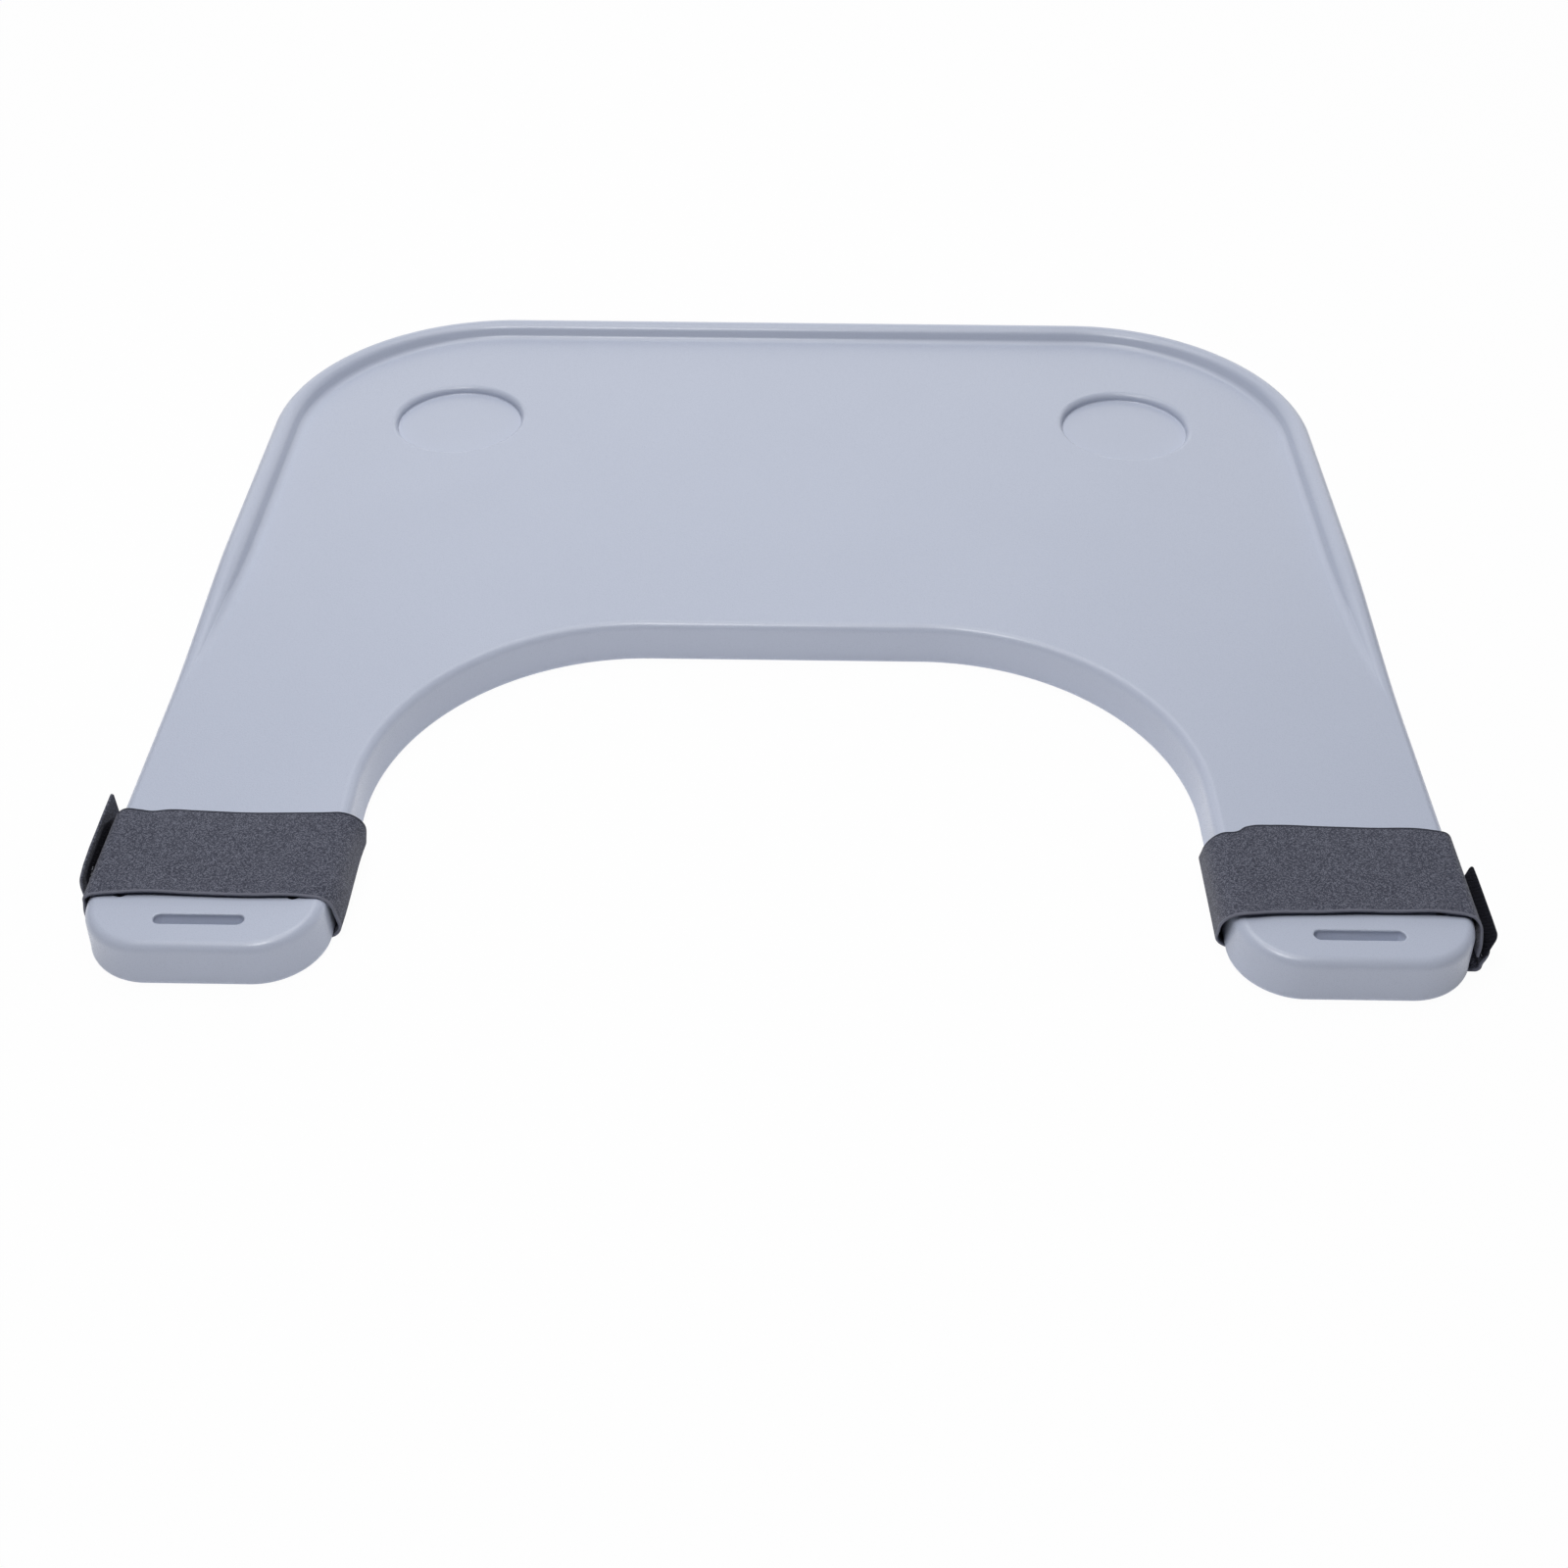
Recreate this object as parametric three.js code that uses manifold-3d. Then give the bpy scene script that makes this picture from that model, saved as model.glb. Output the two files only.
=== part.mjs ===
// Wheelchair tray table: one hollow blow-moulded tray with a hook-and-loop strap round each arm.
// Millimetres, +Z up. X runs across the tray and Y from the arm ends to the far edge.
// The origin is the centre of the tray's plan, on its underside.
import * as THREE from 'three';
import { mergeVertices } from 'three/addons/utils/BufferGeometryUtils.js';
import Module from 'manifold-3d';

const wasm = await Module();
wasm.setup();

// Tray plan
const trayWidth = 600;
const trayDepth = 552;
const farCornerRadius = 128;
const armWidth = 104.7;
const armEndRadius = 30;
const openingDepth = 235.5;
const openingCornerRadius = 126;

// Tray section: the slab, its moulded wall and the edges
const slabThickness = 22;
const wallThickness = 2.8;
const wallLean = 0.6;
const undersideEdgeRadius = 1.5;
const topEdgeRadius = 6;
const plainFloorMargin = 3;
const cavityEdgeRadius = 2;

// Rim that stands above the floor and fades out along both sides
const rimHeight = 8;
const rimFootRadius = 3;
const rimInnerSlope = THREE.MathUtils.degToRad(56);
const rimFadeStart = 168;
const rimFadeLength = 137;

// Cup recesses in the far corners of the floor
const cupRadius = 39.5;
const cupDepth = 4.5;
const cupEdgeRadius = 3.4;
const cupFloorFillet = 1;
const cupFromSide = 105;
const cupFromFarEdge = 112;

// Through slots: one across each arm's end, two along the arm under the strap
const slotLength = 38.9;
const slotWidth = 5.7;
const slotEdgeRadius = 0.8;
const slotLedgeDepth = 3.2;
const slotLedge = 0.35;
const endSlotSetback = 17.9;
const sideSlotSetback = 31.2;
const sideSlotInset = 14.75;

// Tack-offs: cones where the lower wall is pressed up against the upper one
const tackOffMouthRadius = 9;
const tackOffTipRadius = 4;
const tackOffColumnShares = [0.2, 0.47, 0.77];
const tackOffRowShares = [0.175, 0.415, 0.81];
const armTackOffShares = [0.56, 0.84];
const blowHoleRadius = 4;
const blowHoleFromFarEdge = 30;

// Straps: a woven band round the arm whose free end stands up at the arm's outer side
const bandWidth = 56;
const bandThickness = 1.2;
const bandSetback = 30;
const bandSnugGap = 0.4;
const bandTopSlack = 1.2;
const bandInnerSlack = 3.6;
const bandOuterCornerRadius = 4.5;
const bandInnerCornerRadius = 10;
const bandLowerCornerRadius = 6;
const bandFoldRadius = 2.2;
const bandStartHeight = 8;
const seatGap = 0.3;
const hookTapeWidth = 46;
const hookTapeThickness = 1;
const hookTapeStart = 3;
const threadWidth = 0.8;
const threadHeight = 0.5;
const threadInset = 2;

// What differs between the two straps: how the free end lies, and how far band and tape reach up it
const leftEnd = {
	side: -1,
	skew: 9,
	lean: THREE.MathUtils.degToRad(2),
	bandReachFront: 21.8,
	bandReachBack: 25.2,
	tapeReachFront: 17.8,
	tapeReachBack: 21.2,
	tapeMargin: 5,
};
const rightEnd = {
	side: 1,
	skew: -10,
	lean: THREE.MathUtils.degToRad(13),
	bandReachFront: 9,
	bandReachBack: 9,
	tapeReachFront: 18.5,
	tapeReachBack: 18.5,
	tapeMargin: 0,
};

// One overrun for every cutter that has to pass a face
const overrun = 1;

// How finely curves are stepped
const openingSteps = 14;
const armCornerSteps = 6;
const farCornerSteps = 14;
const fadeSteps = 8;
const undersideEdgeSteps = 2;
const crownSteps = 5;
const footSteps = 4;
const cupSteps = 40;
const slotEndSteps = 5;
const slotEdgeSteps = 2;
const coneSteps = 12;
const bandArcSteps = 3;

// Values that follow
const halfWidth = trayWidth / 2;
const halfDepth = trayDepth / 2;
const armInnerX = halfWidth - armWidth;
const armCentreX = halfWidth - armWidth / 2;
const openingTopY = openingDepth - halfDepth;

function arc(centreX, centreY, radius, from, to, steps) {
	const points = [];
	for (let step = 0; step <= steps; step++) {
		const angle = from + (to - from) * step / steps;
		points.push(new THREE.Vector2(centreX + radius * Math.cos(angle), centreY + radius * Math.sin(angle)));
	}
	return points;
}

// The rim's share of its full height, by distance from the arm ends: none on the arms, all of it round the table
function rimShareAt(y) {
	const fromArmEnds = y + halfDepth;
	return THREE.MathUtils.smoothstep(fromArmEnds, rimFadeStart, rimFadeStart + rimFadeLength);
}

// The right half of the plan, moved in by an inset, from the middle of the opening round to the far edge
function rightHalfPlan(inset) {
	const openingRadius = openingCornerRadius + inset;
	const openingX = armInnerX - openingCornerRadius;
	const openingY = openingTopY - openingCornerRadius;
	const armRadius = armEndRadius - inset;
	const armY = armEndRadius - halfDepth;
	const farRadius = farCornerRadius - inset;
	const farX = halfWidth - farCornerRadius;
	const farY = halfDepth - farCornerRadius;
	const plain = [
		...arc(openingX, openingY, openingRadius, Math.PI / 2, 0, openingSteps),
		...arc(armInnerX + armEndRadius, armY, armRadius, Math.PI, 1.5 * Math.PI, armCornerSteps),
		...arc(halfWidth - armEndRadius, armY, armRadius, 1.5 * Math.PI, 2 * Math.PI, armCornerSteps),
	];
	const rimmed = [];
	for (let step = 0; step <= fadeSteps; step++) {
		const y = rimFadeStart + rimFadeLength * step / fadeSteps - halfDepth;
		rimmed.push(new THREE.Vector2(halfWidth - inset, y));
	}
	rimmed.push(...arc(farX, farY, farRadius, 0, Math.PI / 2, farCornerSteps));
	return [
		...plain.map((p) => ({ x: p.x, y: p.y, rim: 0 })),
		...rimmed.map((p) => ({ x: p.x, y: p.y, rim: rimShareAt(p.y) })),
	];
}

// The whole plan, anticlockwise seen from above, always with the same count of points
function plan(inset) {
	const right = rightHalfPlan(inset);
	const left = right.map((p) => ({ x: -p.x, y: p.y, rim: p.rim })).reverse();
	return [...right, ...left];
}

// Sections are lists of x = how far in from the plan's outline and y = height
const undersideEdge = arc(
	undersideEdgeRadius,
	undersideEdgeRadius,
	undersideEdgeRadius,
	1.5 * Math.PI,
	Math.PI,
	undersideEdgeSteps,
);
const cavityFloor = [
	new THREE.Vector2(wallThickness + cavityEdgeRadius, wallThickness),
	new THREE.Vector2(wallThickness, wallThickness + cavityEdgeRadius),
];

// The upper part of a section where the rim has a share of its height, at a depth under the skin: an arc over
// the edge and an arc into the floor, with a straight between them once the rim is tall enough for one.
// Without a rim the second arc is a stretch of floor.
function upperSection(rim, depth) {
	const height = rimHeight * rim;
	const bothRadii = topEdgeRadius + rimFootRadius;
	const turn = Math.min(Math.acos(1 - height / bothRadii), rimInnerSlope);
	const straightHeight = height - bothRadii * (1 - Math.cos(turn));
	const edgeX = wallLean + topEdgeRadius;
	const edgeY = slabThickness + height - topEdgeRadius;
	const footX = edgeX + bothRadii * Math.sin(turn) + straightHeight / Math.tan(rimInnerSlope);
	const footY = slabThickness + rimFootRadius;
	const floorTurn = 1.5 * Math.PI;
	const edge = arc(edgeX, edgeY, topEdgeRadius - depth, Math.PI, Math.PI / 2 - turn, crownSteps);
	const foot = arc(footX, footY, rimFootRadius + depth, floorTurn - turn, floorTurn, footSteps);
	foot.forEach((point, step) => {
		point.x += plainFloorMargin * (1 - rim) * (step + 1) / foot.length;
	});
	return [...edge, ...foot];
}

// The triangles over a ring that bulges outwards everywhere, as a fan from its first point
function fanFacets(ring) {
	return ring.slice(2).map((_, i) => [0, i + 1, i + 2]);
}

// The triangles between two runs of points that both fall in Y, laced from the top down
function lacedFacets(ring, inner, outer) {
	const facets = [];
	let i = 0;
	let o = 0;
	const nextY = (run, at) => (at + 1 < run.length ? ring[run[at + 1]].y : -Infinity);
	while (i + 1 < inner.length || o + 1 < outer.length) {
		if (nextY(inner, i) > nextY(outer, o)) {
			facets.push([inner[i], inner[i + 1], outer[o]]);
			i += 1;
		} else {
			facets.push([inner[i], outer[o + 1], outer[o]]);
			o += 1;
		}
	}
	return facets;
}

// The triangles over the plan: each half is laced from the far edge down to its arm's end, and two more
// triangles join the halves
function planFacets(ring) {
	const last = ring.length - 1;
	const half = ring.length / 2;
	const rightRun = [...Array(half).keys()];
	const innerCount = openingSteps + armCornerSteps + 2;
	const rightFacets = lacedFacets(ring, rightRun.slice(0, innerCount), rightRun.slice(innerCount).reverse());
	const leftFacets = rightFacets.map((facet) => facet.map((i) => last - i));
	return [...rightFacets, ...leftFacets, [0, half - 1, half], [0, half, last]];
}

// A closed solid from a stack of rings with equal counts, lowest first, each anticlockwise seen from above.
// The end rings are flat and get a face each, from the triangles that facetsOf gives.
function ringSolid(rings, facetsOf = fanFacets) {
	const count = rings[0].length;
	const positions = rings.flat().flatMap((p) => [p.x, p.y, p.z]);
	const index = [];
	for (let level = 0; level + 1 < rings.length; level++) {
		for (let i = 0; i < count; i++) {
			const a = level * count + i;
			const b = level * count + (i + 1) % count;
			index.push(a, b, b + count, a, b + count, a + count);
		}
	}
	const faceOver = (ring, first, up) => {
		for (const [a, b, c] of facetsOf(ring)) {
			const turn = THREE.ShapeUtils.area([ring[a], ring[b], ring[c]]);
			if ((turn > 0) === up) index.push(first + a, first + b, first + c);
			else index.push(first + a, first + c, first + b);
		}
	};
	faceOver(rings[0], 0, false);
	faceOver(rings[rings.length - 1], (rings.length - 1) * count, true);
	const geometry = new THREE.BufferGeometry();
	geometry.setAttribute('position', new THREE.Float32BufferAttribute(positions, 3));
	geometry.setIndex(index);
	return geometry;
}

// Seams closed, while the shape still stands at the origin, where both sides of a seam are exactly alike
function welded(geometry) {
	const bare = geometry.clone();
	bare.deleteAttribute('normal');
	bare.deleteAttribute('uv');
	return mergeVertices(bare);
}

function toSolid(geometry) {
	return new wasm.Manifold(new wasm.Mesh({
		numProp: 3,
		vertProperties: new Float32Array(geometry.attributes.position.array),
		triVerts: new Uint32Array(geometry.index.array),
	}));
}

function toGeometry(solid) {
	const mesh = solid.getMesh();
	const geometry = new THREE.BufferGeometry();
	geometry.setAttribute('position', new THREE.BufferAttribute(new Float32Array(mesh.vertProperties), 3));
	geometry.setIndex(new THREE.BufferAttribute(new Uint32Array(mesh.triVerts), 1));
	geometry.computeVertexNormals();
	return geometry;
}

// A closed solid over the plan, from the lower part of its section and the depth of its upper part. With a
// growing inset each point of the plan moves along a straight of its own, which two insets give.
function planSolid(lower, depth) {
	const outline = plan(0);
	const inner = plan(wallThickness);
	const sections = outline.map((p) => [...lower, ...upperSection(p.rim, depth)]);
	const rings = sections[0].map((_, level) => sections.map((section, i) => {
		const { x: inset, y: z } = section[level];
		const along = inset / wallThickness;
		const x = THREE.MathUtils.lerp(outline[i].x, inner[i].x, along);
		const y = THREE.MathUtils.lerp(outline[i].y, inner[i].y, along);
		return new THREE.Vector3(x, y, z);
	}));
	return toSolid(ringSolid(rings, planFacets));
}

function lathe(profile, steps, x, y) {
	const turned = new THREE.LatheGeometry(profile, steps).rotateX(Math.PI / 2);
	return toSolid(welded(turned).translate(x, y, 0));
}

// A cup recess: flat floor, small fillet, leaning wall and a rounded lip that runs out to the floor of the tray
const cupFloorRadius = cupRadius - cupEdgeRadius - cupFloorFillet;
const cupFloorZ = slabThickness - cupDepth;

function cupRecess(x, y) {
	const fillet = arc(cupFloorRadius, cupFloorZ + cupFloorFillet, cupFloorFillet, -Math.PI / 2, 0, slotEdgeSteps);
	const lip = arc(cupRadius, slabThickness - cupEdgeRadius, cupEdgeRadius, Math.PI, Math.PI / 2, crownSteps);
	return lathe([
		new THREE.Vector2(0, cupFloorZ),
		...fillet,
		...lip,
		new THREE.Vector2(cupRadius, slabThickness + overrun),
		new THREE.Vector2(0, slabThickness + overrun),
	], cupSteps, x, y);
}

// What the cavity leaves standing under a cup recess, one wall all round
function cupBacking(x, y) {
	return lathe([
		new THREE.Vector2(0, cupFloorZ - wallThickness),
		new THREE.Vector2(cupFloorRadius + wallThickness / 2, cupFloorZ - wallThickness),
		new THREE.Vector2(cupRadius + wallThickness / 2, slabThickness - wallThickness),
		new THREE.Vector2(cupRadius + wallThickness / 2, slabThickness),
		new THREE.Vector2(0, slabThickness),
	], cupSteps, x, y);
}

// A slot's outline grown by a margin: two half circles and two straights, along X or along Y
function slotRing(x, y, alongY, margin, z) {
	const radius = slotWidth / 2 + margin;
	const reach = (slotLength - slotWidth) / 2;
	const outline = [
		...arc(reach, 0, radius, -Math.PI / 2, Math.PI / 2, slotEndSteps),
		...arc(-reach, 0, radius, Math.PI / 2, 1.5 * Math.PI, slotEndSteps),
	];
	return outline.map((p) => (alongY
		? new THREE.Vector3(x - p.y, y + p.x, z)
		: new THREE.Vector3(x + p.x, y + p.y, z)));
}

// The slot is pressed from above and below and breaks through at a small ledge
function slotCut(x, y, alongY) {
	const ledgeZ = slabThickness - slotLedgeDepth;
	const upperEdge = arc(
		slotEdgeRadius,
		slabThickness - slotEdgeRadius,
		slotEdgeRadius,
		Math.PI,
		Math.PI / 2,
		slotEdgeSteps,
	);
	const levels = [
		[slotEdgeRadius, -overrun],
		[slotEdgeRadius, 0],
		[-slotLedge, slotEdgeRadius + slotLedge],
		[-slotLedge, ledgeZ],
		[0, ledgeZ + slotLedge],
		...upperEdge.map((p) => [p.x, p.y]),
		[slotEdgeRadius, slabThickness + overrun],
	];
	return toSolid(ringSolid(levels.map(([margin, z]) => slotRing(x, y, alongY, margin, z))));
}

function slotSleeve(x, y, alongY) {
	return toSolid(ringSolid([
		slotRing(x, y, alongY, wallThickness, 0),
		slotRing(x, y, alongY, wallThickness, slabThickness),
	]));
}

// A tack-off: the hollow cone in the underside, and the cone of wall that the cavity leaves round it
const tackOffTipZ = slabThickness - 2 * wallThickness;

function tackOffCone(x, y, margin, bottomZ, topZ) {
	return lathe([
		new THREE.Vector2(0, bottomZ),
		new THREE.Vector2(tackOffMouthRadius + margin, bottomZ),
		new THREE.Vector2(tackOffTipRadius + margin, topZ),
		new THREE.Vector2(0, topZ),
	], coneSteps, x, y);
}

function tackOffPlaces() {
	const tableFront = openingTopY;
	const tableDepth = halfDepth - openingTopY;
	const places = [];
	for (const side of [-1, 1]) {
		for (const column of tackOffColumnShares) {
			for (const row of tackOffRowShares) {
				places.push([side * column * halfWidth, tableFront + row * tableDepth]);
			}
		}
		for (const share of armTackOffShares) {
			places.push([side * armCentreX, share * openingDepth - halfDepth]);
		}
	}
	return places;
}

function slotPlaces() {
	const places = [];
	for (const side of [-1, 1]) {
		places.push([side * armCentreX, endSlotSetback - halfDepth, false]);
		for (const fromMiddle of [armInnerX + sideSlotInset, halfWidth - sideSlotInset]) {
			places.push([side * fromMiddle, sideSlotSetback + slotLength / 2 - halfDepth, true]);
		}
	}
	return places;
}

function cupPlaces() {
	return [-1, 1].map((side) => [side * (halfWidth - cupFromSide), halfDepth - cupFromFarEdge]);
}

function traySolid() {
	let cavity = planSolid(cavityFloor, wallThickness);
	for (const [x, y] of cupPlaces()) cavity = cavity.subtract(cupBacking(x, y));
	for (const [x, y, alongY] of slotPlaces()) cavity = cavity.subtract(slotSleeve(x, y, alongY));
	for (const [x, y] of tackOffPlaces()) {
		cavity = cavity.subtract(tackOffCone(x, y, wallThickness, 0, slabThickness));
	}
	let tray = planSolid(undersideEdge, 0).subtract(cavity);
	for (const [x, y] of cupPlaces()) tray = tray.subtract(cupRecess(x, y));
	for (const [x, y, alongY] of slotPlaces()) tray = tray.subtract(slotCut(x, y, alongY));
	for (const [x, y] of tackOffPlaces()) tray = tray.subtract(tackOffCone(x, y, 0, -overrun, tackOffTipZ));
	const blowHole = new THREE.CylinderGeometry(
		blowHoleRadius,
		blowHoleRadius,
		2 * (wallThickness + overrun),
		coneSteps,
	);
	const placedHole = welded(blowHole.rotateX(Math.PI / 2)).translate(0, halfDepth - blowHoleFromFarEdge, 0);
	return tray.subtract(toSolid(placedHole));
}

// A flat strip that follows stations. Each station has a front and a back point, the direction that its
// outer face looks in, and half its thickness there.
function stripSolid(stations) {
	const positions = [];
	for (const { front, back, normal, half } of stations) {
		for (const [point, turn] of [[front, -1], [front, 1], [back, 1], [back, -1]]) {
			positions.push(point.x + turn * half * normal.x, point.y, point.z + turn * half * normal.z);
		}
	}
	const index = [0, 1, 2, 0, 2, 3];
	for (let level = 0; level + 1 < stations.length; level++) {
		for (let i = 0; i < 4; i++) {
			const a = level * 4 + i;
			const b = level * 4 + (i + 1) % 4;
			index.push(a, b + 4, b, a, a + 4, b + 4);
		}
	}
	const last = (stations.length - 1) * 4;
	index.push(last, last + 2, last + 1, last, last + 3, last + 2);
	return outward(positions, index);
}

// Faces turned out, whichever side of the tray the strip is on
function outward(positions, index) {
	const geometry = new THREE.BufferGeometry();
	geometry.setAttribute('position', new THREE.Float32BufferAttribute(positions, 3));
	let volume = 0;
	const [a, b, c] = [new THREE.Vector3(), new THREE.Vector3(), new THREE.Vector3()];
	for (let i = 0; i < index.length; i += 3) {
		a.fromBufferAttribute(geometry.attributes.position, index[i]);
		b.fromBufferAttribute(geometry.attributes.position, index[i + 1]);
		c.fromBufferAttribute(geometry.attributes.position, index[i + 2]);
		volume += a.dot(b.cross(c));
	}
	geometry.setIndex(volume > 0 ? index : index.reverse());
	geometry.computeVertexNormals();
	return geometry;
}

// The band's middle line round the arm, in x = distance from the tray's middle plane and y = height
const halfBand = bandThickness / 2;
const bandOuterX = halfWidth + bandSnugGap + halfBand;
const bandTopZ = slabThickness + bandTopSlack + halfBand;
const bandInnerX = armInnerX - bandInnerSlack - halfBand;
const bandLowZ = -bandSnugGap - halfBand;
const foldX = bandOuterX + halfBand + seatGap + hookTapeThickness + seatGap + halfBand;
const foldTopZ = bandLowZ + bandFoldRadius;
const bandFrontY = bandSetback - halfDepth;

function bandLine() {
	const line = new THREE.Path();
	line.moveTo(bandOuterX, bandStartHeight);
	line.lineTo(bandOuterX, bandTopZ - bandOuterCornerRadius);
	line.absarc(
		bandOuterX - bandOuterCornerRadius,
		bandTopZ - bandOuterCornerRadius,
		bandOuterCornerRadius,
		0,
		Math.PI / 2,
	);
	line.absarc(
		bandInnerX + bandInnerCornerRadius,
		bandTopZ - bandInnerCornerRadius,
		bandInnerCornerRadius,
		Math.PI / 2,
		Math.PI,
	);
	line.absarc(
		bandInnerX + bandLowerCornerRadius,
		bandLowZ + bandLowerCornerRadius,
		bandLowerCornerRadius,
		Math.PI,
		1.5 * Math.PI,
	);
	line.absarc(foldX - bandFoldRadius, bandLowZ + bandFoldRadius, bandFoldRadius, 1.5 * Math.PI, 2 * Math.PI);
	return line.getPoints(bandArcSteps);
}

// How far the band has wandered sideways: nothing until it passes under the arm, all of it at the fold
function skewShareAt(point) {
	const underArm = point.y < 0 ? (point.x - bandInnerX) / (foldX - bandInnerX) : 0;
	return point.x > halfWidth && point.y <= foldTopZ ? 1 : underArm;
}

function band({ side, skew }) {
	const line = bandLine();
	const stations = line.map((point, i) => {
		const before = line[Math.max(i - 1, 0)];
		const after = line[Math.min(i + 1, line.length - 1)];
		const along = after.clone().sub(before).normalize();
		const y = bandFrontY + skew * skewShareAt(point);
		return {
			front: new THREE.Vector3(side * point.x, y, point.y),
			back: new THREE.Vector3(side * point.x, y + bandWidth, point.y),
			normal: new THREE.Vector3(side * along.y, 0, -along.x),
			half: halfBand,
		};
	});
	return stripSolid(stations);
}

// The free end turns about a line just outside the fold, so that it can swing right down without touching
// the band. Its strips are given as they lie when closed: how far their middle is outside the end's own
// middle, and how far up from the pivot each station reaches. The end's lean turns them all.
const pivotX = foldX + halfBand + seatGap;
const pivotZ = foldTopZ + 2 * seatGap;

function freeStrip(end, offset, half, frontY, backY, reaches) {
	const across = new THREE.Vector2(Math.cos(end.lean), -Math.sin(end.lean));
	const up = new THREE.Vector2(Math.sin(end.lean), Math.cos(end.lean));
	const fromPivot = offset - halfBand - seatGap;
	const place = (reach, y) => new THREE.Vector3(
		end.side * (pivotX + fromPivot * across.x + reach * up.x),
		y,
		pivotZ + fromPivot * across.y + reach * up.y,
	);
	return stripSolid(reaches.map(({ front, back }) => ({
		front: place(front, frontY),
		back: place(back, backY),
		normal: new THREE.Vector3(end.side * across.x, 0, across.y),
		half,
	})));
}

function freeEnd(end) {
	const frontY = bandFrontY + end.skew;
	return freeStrip(end, 0, halfBand, frontY, frontY + bandWidth, [
		{ front: 0, back: 0 },
		{ front: end.bandReachFront, back: end.bandReachBack },
	]);
}

const tapeOffset = -(halfBand + seatGap + hookTapeThickness / 2);

function tapeFrontY(end) {
	return bandFrontY + end.skew + end.tapeMargin;
}

function hookTape(end) {
	const frontY = tapeFrontY(end);
	return freeStrip(end, tapeOffset, hookTapeThickness / 2, frontY, frontY + hookTapeWidth, [
		{ front: hookTapeStart, back: hookTapeStart },
		{ front: end.tapeReachFront, back: end.tapeReachBack },
	]);
}

// A row of sewing thread on the outer face, across the strap, given where it lies on the front and back edges
function stitchRow(end, front, back) {
	const frontY = tapeFrontY(end) + threadInset;
	const offset = halfBand + seatGap + threadHeight / 2;
	return freeStrip(end, offset, threadHeight / 2, frontY, frontY + hookTapeWidth - 2 * threadInset, [
		{ front, back },
		{ front: front + threadWidth, back: back + threadWidth },
	]);
}

function upperRow(end) {
	const inset = threadInset + threadWidth;
	const front = Math.min(end.bandReachFront, end.tapeReachFront) - inset;
	const back = Math.min(end.bandReachBack, end.tapeReachBack) - inset;
	return stitchRow(end, front, back);
}

function lowerRow(end) {
	const start = hookTapeStart + threadInset / 2;
	return stitchRow(end, start, start);
}

// Materials
const trayPlastic = { color: 0xbbc1d2, roughness: 0.42, metalness: 0 };
const bandFabric = { color: 0x4e505a, roughness: 0.95, metalness: 0 };
const hookFabric = { color: 0x1c1e2a, roughness: 0.9, metalness: 0 };
const thread = { color: 0x8d8f98, roughness: 0.8, metalness: 0 };

const tray = new THREE.Group();

function addPiece(name, geometry, finish, parent) {
	const mesh = new THREE.Mesh(geometry, new THREE.MeshStandardMaterial(finish));
	mesh.name = name;
	parent.add(mesh);
}

addPiece('tray_moulding', toGeometry(traySolid()), trayPlastic, tray);

for (const [label, end] of [['left', leftEnd], ['right', rightEnd]]) {
	const strap = new THREE.Group();
	addPiece(`${label}_strap_band`, band(end), bandFabric, strap);
	addPiece(`${label}_strap_free_end`, freeEnd(end), bandFabric, strap);
	addPiece(`${label}_strap_hook_tape`, hookTape(end), hookFabric, strap);
	addPiece(`${label}_strap_upper_stitch_row`, upperRow(end), thread, strap);
	addPiece(`${label}_strap_lower_stitch_row`, lowerRow(end), thread, strap);
	tray.add(strap);
}

export default tray;
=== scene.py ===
# %% [markdown]
# # A wheelchair tray table
# A lap tray for a wheelchair is one hollow plastic moulding with a strap round each arm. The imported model
# has its pieces at their real size, with few facets. This scene gives each piece its fine surface and its
# finish. It loads that model first, because every new surface is set out from the boxes of its nodes.

# %% Load the frame
import math

import bpy
import numpy as np
from mathutils import Matrix, Vector


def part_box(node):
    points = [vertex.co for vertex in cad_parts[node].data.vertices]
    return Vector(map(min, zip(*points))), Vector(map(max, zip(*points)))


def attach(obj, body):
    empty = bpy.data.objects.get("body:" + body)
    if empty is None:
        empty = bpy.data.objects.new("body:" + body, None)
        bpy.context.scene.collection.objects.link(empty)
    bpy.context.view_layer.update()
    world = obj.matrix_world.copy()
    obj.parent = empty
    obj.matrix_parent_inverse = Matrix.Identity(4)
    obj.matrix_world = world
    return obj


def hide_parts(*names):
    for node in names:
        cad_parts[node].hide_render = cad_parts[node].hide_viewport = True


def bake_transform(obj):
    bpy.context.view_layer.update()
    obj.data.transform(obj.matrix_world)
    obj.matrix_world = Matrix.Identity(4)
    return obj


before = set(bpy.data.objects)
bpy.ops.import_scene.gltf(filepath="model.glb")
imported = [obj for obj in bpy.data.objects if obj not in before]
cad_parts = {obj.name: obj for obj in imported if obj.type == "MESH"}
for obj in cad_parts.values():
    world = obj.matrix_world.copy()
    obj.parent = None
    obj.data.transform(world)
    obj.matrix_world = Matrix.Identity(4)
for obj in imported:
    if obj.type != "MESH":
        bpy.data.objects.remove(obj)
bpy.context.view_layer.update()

MM = 0.001
print("nodes:", len(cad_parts))

# %% [markdown]
# ## Points, grids and meshes
# Nearly every surface here is a stack of rings: closed lines that all have the same count of points. A ring
# can be the tray's outline, a slot or a circle, and the stack can climb straight up or follow a strap.
# Blender could sweep such things with curve objects, but arrays keep every size exact and are quick.

# %% Arcs and rings
def arc(centre, radius, start, end, steps):
    """Points on a circle: centre + radius * (cos t, sin t), with t in even steps from start to end."""
    turn = np.linspace(start, end, steps + 1)
    return np.stack([centre[0] + radius * np.cos(turn), centre[1] + radius * np.sin(turn)], axis=1)


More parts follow.
